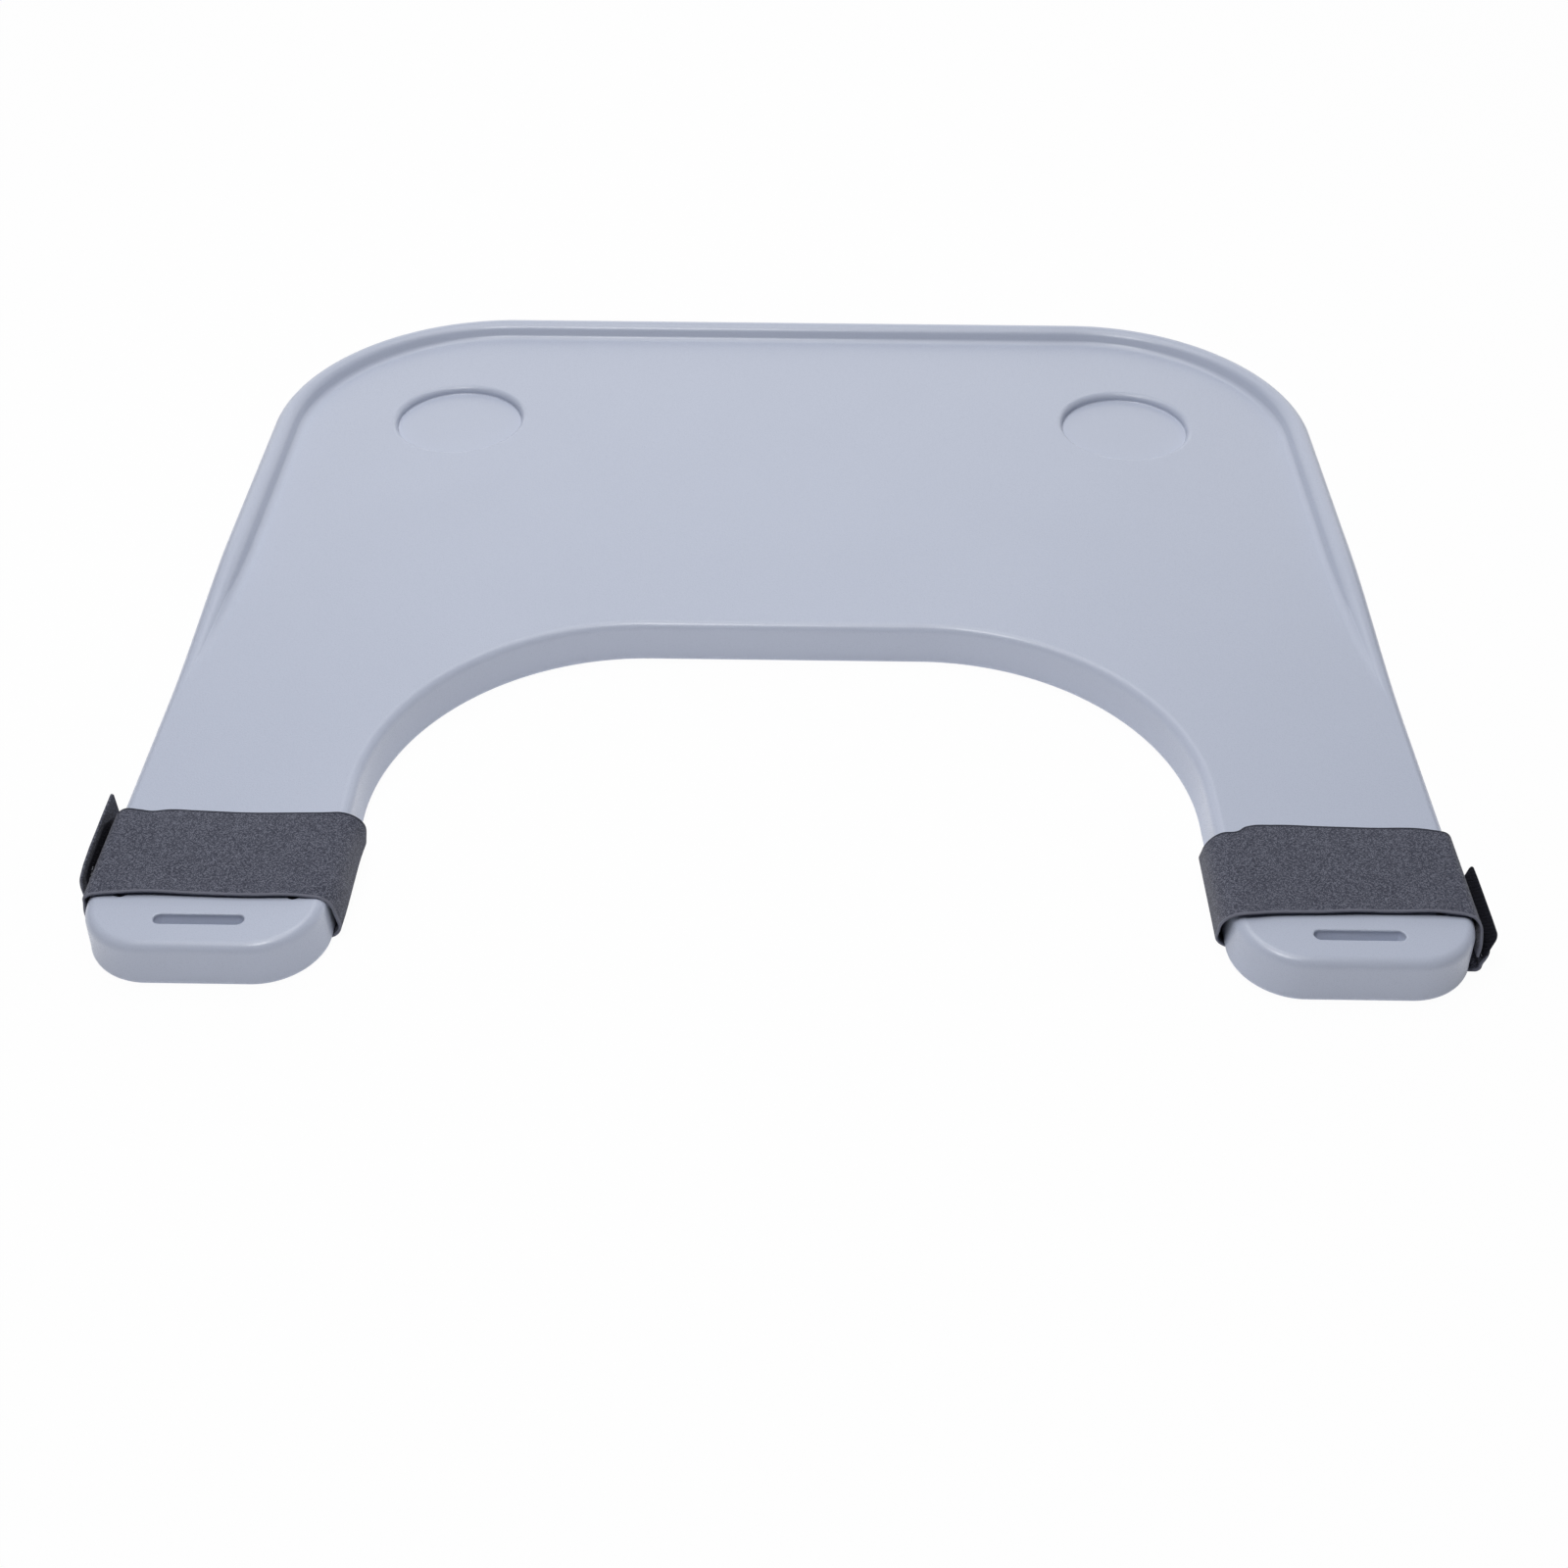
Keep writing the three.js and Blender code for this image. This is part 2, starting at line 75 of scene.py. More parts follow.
def line(start, end, steps):
    """Points on a straight: start + share * (end - start), with share in even steps from 0 to 1."""
    share = np.linspace(0, 1, steps + 1)[:, None]
    return np.array(start) + share * (np.array(end) - np.array(start))


def eased(position, knots, values):
    """A curve through given values: between two knots the value goes from one to the next by
    s * s * (3 - 2 * s), where s is the share of the way, so that it is level at each knot."""
    knots, values = np.array(knots, float), np.array(values, float)
    after = np.clip(np.searchsorted(knots, position, side="right"), 1, len(knots) - 1)
    share = np.clip((position - knots[after - 1]) / (knots[after] - knots[after - 1]), 0, 1)
    share = share * share * (3 - 2 * share)
    return values[after - 1] + share * (values[after] - values[after - 1])


def ring_faces(rings, points):
    """Quads between each ring and the next one in the stack, and between each point and the next one
    round the ring, the last being followed by the first."""
    index = np.arange(rings * points).reshape(rings, points)
    following = np.roll(index, -1, axis=1)
    corners = [index[:-1], following[:-1], following[1:], index[1:]]
    return np.stack(corners, axis=-1).reshape(-1, 4)


print("a quarter circle of radius 1 ends at", arc((0, 0), 1, 0, math.pi / 2, 8)[-1].round(3))

# %% Meshes from rings
def outward(mesh):
    """Turns every face out. The volume is the sum over triangles of a . (b x c) / 6, which is below zero
    where the faces look inwards."""
    mesh.calc_loop_triangles()
    points = np.empty(len(mesh.vertices) * 3)
    mesh.vertices.foreach_get("co", points)
    corners = np.empty(len(mesh.loop_triangles) * 3, int)
    mesh.loop_triangles.foreach_get("vertices", corners)
    a, b, c = points.reshape(-1, 3)[corners.reshape(-1, 3)].transpose(1, 0, 2)
    if np.einsum("ij,ij->i", a, np.cross(b, c)).sum() < 0:
        mesh.flip_normals()


def closed_solids(name, stacks):
    """One mesh of closed solids, each over its own stack of rings, from an array of shape (solids, rings,
    points, 3). The walls are shaded smooth, and each stack's first and last ring get one flat face."""
    stacks = np.asarray(stacks, float)
    solids, rings, points, _ = stacks.shape
    walls = ring_faces(rings, points)
    ends = np.array([np.arange(points)[::-1], np.arange((rings - 1) * points, rings * points)])
    first = np.arange(solids)[:, None, None] * rings * points
    mesh = bpy.data.meshes.new(name)
    faces = (walls + first).reshape(-1, 4).tolist() + (ends + first).reshape(-1, points).tolist()
    mesh.from_pydata(stacks.reshape(-1, 3).tolist(), [], faces)
    smooth = np.arange(len(mesh.polygons)) < solids * len(walls)
    mesh.polygons.foreach_set("use_smooth", smooth)
    outward(mesh)
    piece = bpy.data.objects.new(name, mesh)
    bpy.context.scene.collection.objects.link(piece)
    return piece


def closed_solid(name, rings):
    """One closed solid over an array of rings, shape (rings, points, 3)."""
    return closed_solids(name, np.asarray(rings, float)[None])


def carve(piece, cutter):
    """Cuts one closed solid out of another, keeps the result and removes the cutter."""
    modifier = piece.modifiers.new("carve", "BOOLEAN")
    modifier.operation = "DIFFERENCE"
    modifier.solver = "EXACT"
    modifier.object = cutter
    seen = piece.evaluated_get(bpy.context.evaluated_depsgraph_get())
    carved = bpy.data.meshes.new_from_object(seen)
    piece.modifiers.clear()
    piece.data, before = carved, piece.data
    bpy.data.meshes.remove(before)
    bpy.data.meshes.remove(cutter.data)


print("helpers ready")

# %% [markdown]
# ## The tray's plan
# The plan is a wide U. Its far corners are large arcs, the opening for the body has two arcs nearly as
# large, and each arm ends in two small ones. The right half is written out and the left half is its mirror
# image, so that the two always agree. Moving the outline in by an inset only changes the arcs' radii.

# %% Plan sizes and outline
tray_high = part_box("tray_moulding")[1]
half_width = tray_high.x
half_depth = tray_high.y
arm_width = 104.7 * MM
far_radius = 128 * MM
arm_end_radius = 30 * MM
opening_depth = 235.5 * MM
opening_radius = 126 * MM
fade_start = 168 * MM
fade_length = 137 * MM
corner_steps = 96
arm_steps = 30
fade_steps = 48
arm_inner_x = half_width - arm_width
arm_centre_x = half_width - arm_width / 2
opening_y = opening_depth - half_depth


def rim_share(y):
    """How much of the rim stands at a place along the tray: s * s * (3 - 2 * s), where s goes from 0 to 1
    over the length in which the rim fades in."""
    share = np.clip((y + half_depth - fade_start) / fade_length, 0, 1)
    return share * share * (3 - 2 * share)


def tray_outline(inset):
    """The plan moved in by an inset, anticlockwise: x and y of each point."""
    quarter = math.pi / 2
    arm_radius, arm_y = arm_end_radius - inset, arm_end_radius - half_depth
    fade_y = fade_start - half_depth
    far_centre = (half_width - far_radius, half_depth - far_radius)
    opening_centre = (arm_inner_x - opening_radius, opening_y - opening_radius)
    right = np.concatenate([
        arc(opening_centre, opening_radius + inset, quarter, 0, corner_steps),
        arc((arm_inner_x + arm_end_radius, arm_y), arm_radius, 2 * quarter, 3 * quarter, arm_steps),
        arc((half_width - arm_end_radius, arm_y), arm_radius, 3 * quarter, 4 * quarter, arm_steps),
        line((half_width - inset, fade_y), (half_width - inset, fade_y + fade_length), fade_steps),
        arc(far_centre, far_radius - inset, 0, quarter, corner_steps),
    ])
    return np.concatenate([right, right[::-1] * (-1, 1)])


def outline_rim():
    """The rim's share at each point of the plan: nothing round the opening and the arms' ends, whose points
    come first in the right half."""
    outline = tray_outline(0)
    share = rim_share(outline[:len(outline) // 2, 1])
    plain_points = (corner_steps + 1) + 2 * (arm_steps + 1)
    share[:plain_points] = 0
    return np.concatenate([share, share[::-1]])


print("points round the plan:", len(tray_outline(0)))
print("rim share at the far edge:", outline_rim().max())

# %% [markdown]
# ## The tray's section
# The section is the same all round: a small radius at the foot, a leaning wall and a large arc over the edge.
# Round the table the arc stands higher, as the crown of a low rim, and comes down to the floor by a steep
# straight and a small hollow arc. Along the sides the rim only gets lower, so its inner wall thins to a line.
# A fine ridge low on the outer wall is the parting line, where the two halves of the mould met.

# %% Section sizes and lines
slab = 22 * MM
wall = 2.8 * MM
wall_lean = 0.6 * MM
underside_radius = 1.5 * MM
parting_height = 2.2 * MM
parting_ridge = 0.16 * MM
parting_width = 0.3 * MM
parting_flat = parting_width / 3
underside_steps = 6
crown_radius = 6 * MM
plain_edge_radius = 4.8 * MM
foot_radius = 4.5 * MM
plain_margin = 3 * MM
slope = math.radians(63)
rim_height = tray_high.z - slab


def parting_line():
    """The foot of the wall as (inset, height): a small quarter circle, then a ridge that stands out."""
    foot_centre = (underside_radius, underside_radius)
    foot = arc(foot_centre, underside_radius, 1.5 * math.pi, math.pi, underside_steps)
    ridge = np.array([
        (0, parting_height - parting_width),
        (-parting_ridge, parting_height - parting_flat),
        (-parting_ridge, parting_height + parting_flat),
        (0, parting_height + parting_width),
    ])
    return np.concatenate([foot, ridge])


def upper_section(rim, depth, steps):
    """Insets and heights of the section's upper part, at a depth under the skin, for the rim's share at each
    place. An arc of radius R turns down by t and one of radius r turns back, which takes up a height of
    (R + r)(1 - cos t), and a straight takes up the rest."""
    height = rim * rim_height
    edge_radius = plain_edge_radius + rim * (crown_radius - plain_edge_radius)
    both_radii = edge_radius + foot_radius
    turn = np.minimum(np.arccos(1 - height / both_radii), slope)
    straight_height = height - both_radii * (1 - np.cos(turn))
    edge_x = wall_lean + edge_radius
    foot_x = edge_x + both_radii * np.sin(turn) + straight_height / math.tan(slope)
    share = np.linspace(0, 1, steps + 1)[:, None]
    over = math.pi - share * (math.pi / 2 + turn)
    into = 1.5 * math.pi - (1 - share) * turn
    spread = (share * steps + 1) / (steps + 1) * (1 - rim) * plain_margin
    edge_z = slab + height - edge_radius
    inset = [
        edge_x + (edge_radius - depth) * np.cos(over),
        foot_x + (foot_radius + depth) * np.cos(into) + spread,
    ]
    level = [
        edge_z + (edge_radius - depth) * np.sin(over),
        slab + foot_radius + (foot_radius + depth) * np.sin(into),
    ]
    return np.concatenate(inset), np.concatenate(level)


def plan_rings(lower, depth, steps):
    """A stack of rings over the plan, from the lower part of its section, as (inset, height), and the depth
    of its upper part. A point at an inset is outline + inset * inward."""
    outline = tray_outline(0)
    inward = (tray_outline(wall) - outline) / wall
    inset, level = upper_section(outline_rim(), depth, steps)
    lower = np.repeat(np.array(lower)[:, None, :], len(outline), axis=1)
    inset = np.concatenate([lower[..., 0], inset])[..., None]
    level = np.concatenate([lower[..., 1], level])[..., None]
    return np.concatenate([outline + inset * inward, level], axis=-1)


print("rim stands", round(rim_height / MM, 2), "mm above the floor")

# %% [markdown]
# ## Recesses, slots and hollows
# The real tray is blown in a mould, so its cup recesses, slots and the cones in its underside are dents
# pressed into one skin. Here each is a solid of rings that is cut out of the tray by a Boolean modifier,
# which is then applied. Doing it by hand would mean stitching each hole into the floor, and the flat faces
# give the same clean result.

# %% Circles, slots and cutters
overrun = 1 * MM


def circle_ring(x, y, radius, height, points):
    """A level circle: (x + r cos t, y + r sin t, z)."""
    turn = np.linspace(0, 2 * math.pi, points, endpoint=False)
    level = np.full(points, height)
    return np.stack([x + radius * np.cos(turn), y + radius * np.sin(turn), level], axis=1)


def turned_solid(name, x, y, profile, points):
    """A solid of revolution about an upright axis, from its (radius, height) profile, lowest first."""
    return closed_solid(name, [circle_ring(x, y, radius, height, points) for radius, height in profile])


slot_length = 38.9 * MM
slot_width = 5.7 * MM
slot_edge = 0.8 * MM
slot_ledge_depth = 3.2 * MM
slot_ledge = 0.55 * MM
end_slot_setback = 17.9 * MM
side_slot_setback = 31.2 * MM
side_slot_inset = 14.75 * MM
slot_end_steps = 16
slot_edge_steps = 8


def slot_ring(x, y, along_y, margin, height):
    """A slot's outline grown by a margin: two half circles and the straights between them."""
    radius, reach = slot_width / 2 + margin, (slot_length - slot_width) / 2
    ends = [
        arc((reach, 0), radius, -math.pi / 2, math.pi / 2, slot_end_steps),
        arc((-reach, 0), radius, math.pi / 2, 1.5 * math.pi, slot_end_steps),
    ]
    flat = np.concatenate(ends)
    if along_y:
        flat = flat[:, ::-1] * (-1, 1)
    return np.concatenate([flat + (x, y), np.full((len(flat), 1), height)], axis=1)


def slot_cutter(x, y, along_y):
    """The hole of a slot: rounded upper edge, a ledge a little way down, a straight wall and a chamfer."""
    upper = arc((slot_edge, slab - slot_edge), slot_edge, math.pi, math.pi / 2, slot_edge_steps)
    ledge_z = slab - slot_ledge_depth
    levels = [
        (slot_edge, -overrun),
        (slot_edge, 0),
        (-slot_ledge, slot_edge + slot_ledge),
        (-slot_ledge, ledge_z - slot_ledge),
        (0, ledge_z),
        *upper,
        (slot_edge, slab + overrun),
    ]
    return closed_solid("slot", [slot_ring(x, y, along_y, margin, z) for margin, z in levels])


slot_places = []
for side in (-1, 1):
    slot_places.append((side * arm_centre_x, end_slot_setback - half_depth, False))
    for from_middle in (arm_inner_x + side_slot_inset, half_width - side_slot_inset):
        slot_places.append((side * from_middle, side_slot_setback + slot_length / 2 - half_depth, True))
print("slots:", len(slot_places))

# %% Cup recesses
cup_radius = 39.5 * MM
cup_depth = 4.5 * MM
cup_lip = 3.4 * MM
cup_fillet = 1 * MM
cup_from_side = 105 * MM
cup_from_far_edge = 112 * MM
cup_points = 160
cup_fillet_steps = 8
cup_lip_steps = 40
cup_floor_radius = cup_radius - cup_lip - cup_fillet
cup_floor = slab - cup_depth
cup_places = [(side * (half_width - cup_from_side), half_depth - cup_from_far_edge) for side in (-1, 1)]


def cup_cutter(x, y):
    """A shallow dish: flat floor, small fillet, leaning wall and a rounded lip that runs out level."""
    fillet_centre = (cup_floor_radius, cup_floor + cup_fillet)
    fillet = arc(fillet_centre, cup_fillet, -math.pi / 2, 0, cup_fillet_steps)
    lip = arc((cup_radius, slab - cup_lip), cup_lip, math.pi, math.pi / 2, cup_lip_steps)
    profile = [*fillet, *lip, (cup_radius, slab + overrun)]
    return turned_solid("cup", x, y, profile, cup_points)


print("cup recess across its lip:", round(2 * cup_radius / MM, 1), "mm")

# %% Cones in the underside
cone_mouth = 9 * MM
cone_tip = 4 * MM
cone_tip_z = slab - 2 * wall
column_shares = (0.2, 0.47, 0.77)
row_shares = (0.175, 0.415, 0.81)
arm_shares = (0.56, 0.84)
blow_hole_radius = 4 * MM
blow_hole_setback = 30 * MM
small_round_points = 32

cone_places = []
for side in (-1, 1):
    for column in column_shares:
        for row in row_shares:
            cone_places.append((side * column * half_width, opening_y + row * (half_depth - opening_y)))
    for share in arm_shares:
        cone_places.append((side * arm_centre_x, share * opening_depth - half_depth))


def cone_solid(x, y, margin, low, high):
    """The part of a cone between two heights, with the same slope whatever the margin."""
    def radius_at(height):
        share = height / cone_tip_z
        return cone_mouth + share * (cone_tip - cone_mouth) + margin
    profile = [(radius_at(low), low), (radius_at(high), high)]
    return turned_solid("cone", x, y, profile, small_round_points)


print("cones in the underside:", len(cone_places))

# %% The hollow inside
cavity_edge = 2 * MM
cavity_steps = 4
backing_points = 48


def hollow():
    """The space between the two walls, one wall in from the skin, less what stands in it."""
    cavity_floor = [(wall + cavity_edge, wall), (wall, wall + cavity_edge)]
    space = closed_solid("hollow", plan_rings(cavity_floor, wall, cavity_steps))
    for x, y in cup_places:
        backing = [
            (cup_floor_radius + wall / 2, cup_floor - wall),
            (cup_radius + wall / 2, slab - wall),
            (cup_radius + wall / 2, slab),
        ]
        carve(space, turned_solid("backing", x, y, backing, backing_points))
    for x, y, along_y in slot_places:
        sleeve = [slot_ring(x, y, along_y, wall, height) for height in (0, slab)]
        carve(space, closed_solid("sleeve", sleeve))
    for x, y in cone_places:
        carve(space, cone_solid(x, y, wall, 0, slab))
    return space


print("the hollow stands", round(wall / MM, 2), "mm in from the skin")

# %% The whole tray
skin_steps = 20

tray = closed_solid("tray_shell", plan_rings(parting_line(), 0, skin_steps))
carve(tray, hollow())
for x, y in cup_places:
    carve(tray, cup_cutter(x, y))
for x, y, along_y in slot_places:
    carve(tray, slot_cutter(x, y, along_y))
for x, y in cone_places:
    carve(tray, cone_solid(x, y, 0, -overrun, cone_tip_z))
blow_hole = [(blow_hole_radius, -overrun), (blow_hole_radius, wall + overrun)]
carve(tray, turned_solid("blow_hole", 0, half_depth - blow_hole_setback, blow_hole, small_round_points))
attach(tray, "tray")
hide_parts("tray_moulding")
print("tray faces:", len(tray.data.polygons))

# %% [markdown]
# ## The straps
# Each strap is one length of grey loop fabric, 56 mm wide. It starts at the arm's outer side, goes over the
# arm, down its inner side and back underneath, and there it folds up and closes on itself. It could be a
# curve with a bevel, but the selvedges wander a little and lift off the arm, so each strap is a thin closed
# section that is carried along the path, with the two selvedges given by curves of their own.

# %% Strap sizes and path
band_width = 56 * MM
band_thickness = 1.2 * MM
band_setback = 30 * MM
snug_gap = 0.4 * MM
top_slack = 1.2 * MM
inner_slack = 3.6 * MM
outer_corner = 4.5 * MM
inner_corner = 10 * MM
lower_corner = 7.5 * MM
fold_radius = 2.2 * MM
band_start = 8 * MM
seat_gap = 0.3 * MM
tape_width = 46 * MM
tape_thickness = 1 * MM
tape_start = 3 * MM
path_step = 0.9 * MM
outer_steps = 10
inner_steps = 16
lower_steps = 12
fold_steps = 8

half_band = band_thickness / 2
band_outer_x = half_width + snug_gap + half_band
band_top_z = slab + top_slack + half_band
band_inner_x = arm_inner_x - inner_slack - half_band
band_low_z = -snug_gap - half_band
fold_x = band_outer_x + band_thickness + 2 * seat_gap + tape_thickness
fold_top_z = band_low_z + fold_radius
band_front_y = band_setback - half_depth


def band_line():
    """The band's middle line as (x, z), x being the distance from the tray's middle plane: straights and
    quarter circles, first up the outer side and last up through the fold."""
    quarter = math.pi / 2
    outer = (band_outer_x - outer_corner, band_top_z - outer_corner)
    inner = (band_inner_x + inner_corner, band_top_z - inner_corner)
    lower = (band_inner_x + lower_corner, band_low_z + lower_corner)
    fold = (fold_x - fold_radius, fold_top_z)
    bends = [
        arc(outer, outer_corner, 0, quarter, outer_steps),
        arc(inner, inner_corner, quarter, 2 * quarter, inner_steps),
        arc(lower, lower_corner, 2 * quarter, 3 * quarter, lower_steps),
        arc(fold, fold_radius, 3 * quarter, 4 * quarter, fold_steps),
    ]
    points = [np.array([(band_outer_x, band_start)])]
    for bend in bends:
        start = points[-1][-1]
        steps = max(int(np.linalg.norm(bend[0] - start) / path_step), 1)
        points += [line(start, bend[0], steps)[1:], bend[1:]]
    return np.concatenate(points)


def through(position, knots, values):
    """A smooth curve through values at knots: between two knots it is the cubic that has, at each of them,
    the value there and the mean slope of the stretches on its two sides."""
    knots, values = np.array(knots, float), np.array(values, float)
    slopes = np.gradient(values, knots)
    at = np.clip(np.searchsorted(knots, position, side="right") - 1, 0, len(knots) - 2)
    length = knots[at + 1] - knots[at]
    share = np.clip((position - knots[at]) / length, 0, 1)
    level = values[at] + (values[at + 1] - values[at]) * share ** 2 * (3 - 2 * share)
    lean = slopes[at] * share * (1 - share) ** 2 - slopes[at + 1] * share ** 2 * (1 - share)
    return level + length * lean


path = band_line()
path_along = np.concatenate([[0], np.cumsum(np.linalg.norm(np.diff(path, axis=0), axis=1))])
path_tangent = np.gradient(path, path_along, axis=0)
path_tangent /= np.linalg.norm(path_tangent, axis=1, keepdims=True)
print("band length:", round(path_along[-1] / MM, 1), "mm in", len(path), "steps")

# %% Cloth as a thin closed solid
edge_steps = 6
across_steps = 56


def strip_section():
    """One trip round the section of a strip: outer face, back edge, inner face and front edge. It gives for
    each point its share of the way across, how far it stands out sideways at an edge, and its side of the
    middle, the last two in half thicknesses. At an edge they are the cos and sin of a half circle."""
    across = (1 - np.cos(np.linspace(0, math.pi, across_steps))) / 2
    bend = np.linspace(math.pi / 2, -math.pi / 2, edge_steps + 2)[1:-1]
    ones, none = np.ones(across_steps), np.zeros(across_steps)
    share = np.concatenate([across, np.ones(edge_steps), across[::-1], np.zeros(edge_steps)])
    edge = np.concatenate([none, np.cos(bend), none, -np.cos(bend)])
    turn = np.concatenate([ones, np.sin(bend), -ones, -np.sin(bend)])
    return share, edge, turn


across_share, edge_reach, face_side = strip_section()


def strip_solid(name, middle, normal, half, along):
    """A closed strip: middle + normal * half * side, with middle of shape (stations, points, 3). The place
    on the cloth, how far along and how far across, is kept as an attribute for the weave."""
    rings = middle + normal * (half * face_side)[..., None]
    piece = closed_solid(name, rings)
    cloth = np.zeros(rings.shape)
    cloth[..., 0] = along
    cloth[..., 1] = across_share * band_width
    cloth[..., 2] = face_side * half_band
    place = piece.data.attributes.new("cloth", "FLOAT_VECTOR", "POINT")
    place.data.foreach_set("vector", cloth.ravel())
    return piece


print("points round the strip:", len(across_share))

# %% How each strap lies
# Along is how far from the band's start, by is how far an edge strays from its straight line, and the lifts
# are how far the two edges stand off the path. All of them are in millimetres.
left = {
    "label": "left",
    "side": -1,
    "skew": 9 * MM,
    "lean": math.radians(2),
    "front_along": (0, 8, 11, 15, 21, 28, 39, 64, 85, 106, 114, 131, 150, 170, 250),
    "front_by": (-1.3, -1.3, 0.2, -0.7, 0.3, 0.8, 1.4, 0.9, 0.5, 1.0, 1.1, 1.6, 0.6, 0, 0),
    "back_along": (0, 15, 18, 24, 30, 38, 50, 73, 95, 110, 120, 134, 150, 250),
    "back_by": (-0.7, -0.7, 0.7, 0.4, -0.5, 0.8, 0.6, -0.3, -0.5, -0.9, -0.8, 0.2, 0, 0),
    "lift_along": (0, 22, 39, 60, 85, 105, 118, 129, 136, 142, 150, 250),
    "lift_by": (0, 0, 0.7, 0.3, 0.1, 0, -1.6, -2.4, -1.1, -0.1, 0, 0),
    "back_lift_along": (0, 100, 116, 127, 136, 144, 152, 250),
    "back_lift_by": (0, 0, 1.0, 2.2, 1.1, 0, 0, 0),
}
right = {
    "label": "right",
    "side": 1,
    "skew": -10 * MM,
    "lean": math.radians(13),
    "front_along": (0, 7, 12, 17, 19, 27, 43, 60, 81, 103, 115, 130, 140, 160, 250),
    "front_by": (-10.4, -10.1, -6.7, -2.9, -1.9, -0.6, -0.2, -0.3, -1.0, -2.0, -3.4, -0.7, 2.4, 0.6, 0),
    "back_along": (0, 17, 26, 49, 71, 93, 104, 106.5, 108.5, 117, 126, 140, 160, 250),
    "back_by": (-5.0, -3.4, -1.6, -1.4, -0.9, -0.3, -1.2, -2.2, -4.0, -5.6, -6.4, -1.2, 0, 0),
    "lift_along": (0, 22, 34, 52, 66, 84, 103, 115, 130, 145, 160, 250),
    "lift_by": (0, 0.3, 0.9, 0.2, 0.7, 0.3, 0.6, 1.0, 0.2, 0, 0, 0),
    "back_lift_along": (0, 250),
    "back_lift_by": (0, 0),
}
lift_share = 0.3

under_arm = path_along[path[:, 1] < 0]
skew_share = eased(path_along, (under_arm.min(), under_arm.max()), (0, 1))


def selvedges(strap):
    """The y of the band's front and back edge at each step of its path."""
    along = path_along / MM
    wander = strap["skew"] * skew_share
    front = band_front_y + wander + through(along, strap["front_along"], strap["front_by"]) * MM
    back = band_front_y + band_width + wander + through(along, strap["back_along"], strap["back_by"]) * MM
    return front, back


def band_rings(strap):
    """The middle surface of the band and its outward direction: the path, carried across from the front
    selvedge to the back one, and lifted near each by lift * (1 - share from it / lift share) squared."""
    front, back = selvedges(strap)
    reach = (back - front - band_thickness)[:, None] * across_share + half_band
    y = front[:, None] + reach + half_band * edge_reach
    normal = np.stack([path_tangent[:, 1], -path_tangent[:, 0]], axis=1)
    lift = 0
    for edge_name, from_edge in (("lift", across_share), ("back_lift", 1 - across_share)):
        by = through(path_along / MM, strap[edge_name + "_along"], strap[edge_name + "_by"]) * MM
        lift = lift + by[:, None] * np.clip(1 - from_edge / lift_share, 0, 1) ** 2
    x = path[:, :1] + normal[:, :1] * lift
    z = path[:, 1:] + normal[:, 1:] * lift
    middle = np.stack([strap["side"] * x, y, z], axis=-1)
    level = np.zeros(len(normal))
    direction = np.stack([strap["side"] * normal[:, 0], level, normal[:, 1]], axis=1)
    return middle, direction[:, None, :]


for strap in (left, right):
    middle, direction = band_rings(strap)
    wrap = strip_solid(strap["label"] + "_strap_wrap", middle, direction, half_band, path_along[:, None])
    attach(wrap, strap["label"] + "_strap")
    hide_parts(strap["label"] + "_strap_band")
    print(wrap.name, len(wrap.data.polygons), "faces")

# %% [markdown]
# ## The free ends
# Past the fold the strap turns up and closes on itself, with a strip of hook tape sewn to its inner face. On
# the real strap this end is peeled open by hand. It bends at the fold, so its lower edge follows the band
# and the rest follows the free end, with a short smooth turn between them.

# %% Shapes of the free ends
# Each outline is a line of heights across the piece, from its front edge to its back edge, in millimetres
# above the pivot, with rounded corners.
left["flap_shares"] = (0, 0.06, 0.16, 0.35, 0.75, 1)
left["flap_heights"] = (20.7, 21.8, 23.1, 24.0, 24.5, 24.6)
left["flap_corners"] = (2.5 * MM, 1.2 * MM)
left["tape_margin"] = 5 * MM
left["tape_shares"] = (0, 0.1, 0.7, 1)
left["tape_heights"] = (18.6, 20.6, 21.8, 14.5)
left["tape_corners"] = (2 * MM, 1 * MM)
right["flap_shares"] = (0, 1)
right["flap_heights"] = (9, 9)
right["flap_corners"] = (2.2 * MM, 2.2 * MM)
right["tape_margin"] = 0
right["tape_shares"] = (0, 0.2, 0.8, 1)
right["tape_heights"] = (18.2, 18.5, 18.5, 18.2)
right["tape_corners"] = (2.6 * MM, 2.6 * MM)

pivot_x = fold_x + half_band + seat_gap
pivot_z = fold_top_z + 2 * seat_gap
fold_blend = 4 * MM
end_steps = 5
end_turn = math.radians(85)
run_points = 30


def free_place(strap, offset, reach, y):
    """A point of the free end: pivot + (offset - half band - gap) * across + reach * up, where across and up
    are turned by the end's lean. Down at the fold it goes over to the line straight above the fold."""
    lean = strap["lean"]
    out = offset - half_band - seat_gap
    leaned_x = pivot_x + out * math.cos(lean) + reach * math.sin(lean)
    leaned_z = pivot_z - out * math.sin(lean) + reach * math.cos(lean)
    share_up = eased(reach, (-2 * seat_gap, fold_blend), (0, 1))
    x = fold_x + offset + share_up * (leaned_x - fold_x - offset)
    z = pivot_z + reach + share_up * (leaned_z - pivot_z - reach)
    return np.stack(np.broadcast_arrays(strap["side"] * x, y, z), axis=-1)


def free_normal(strap):
    """The direction that the free end's outer face looks in."""
    return np.array([strap["side"] * math.cos(strap["lean"]), 0, -math.sin(strap["lean"])])


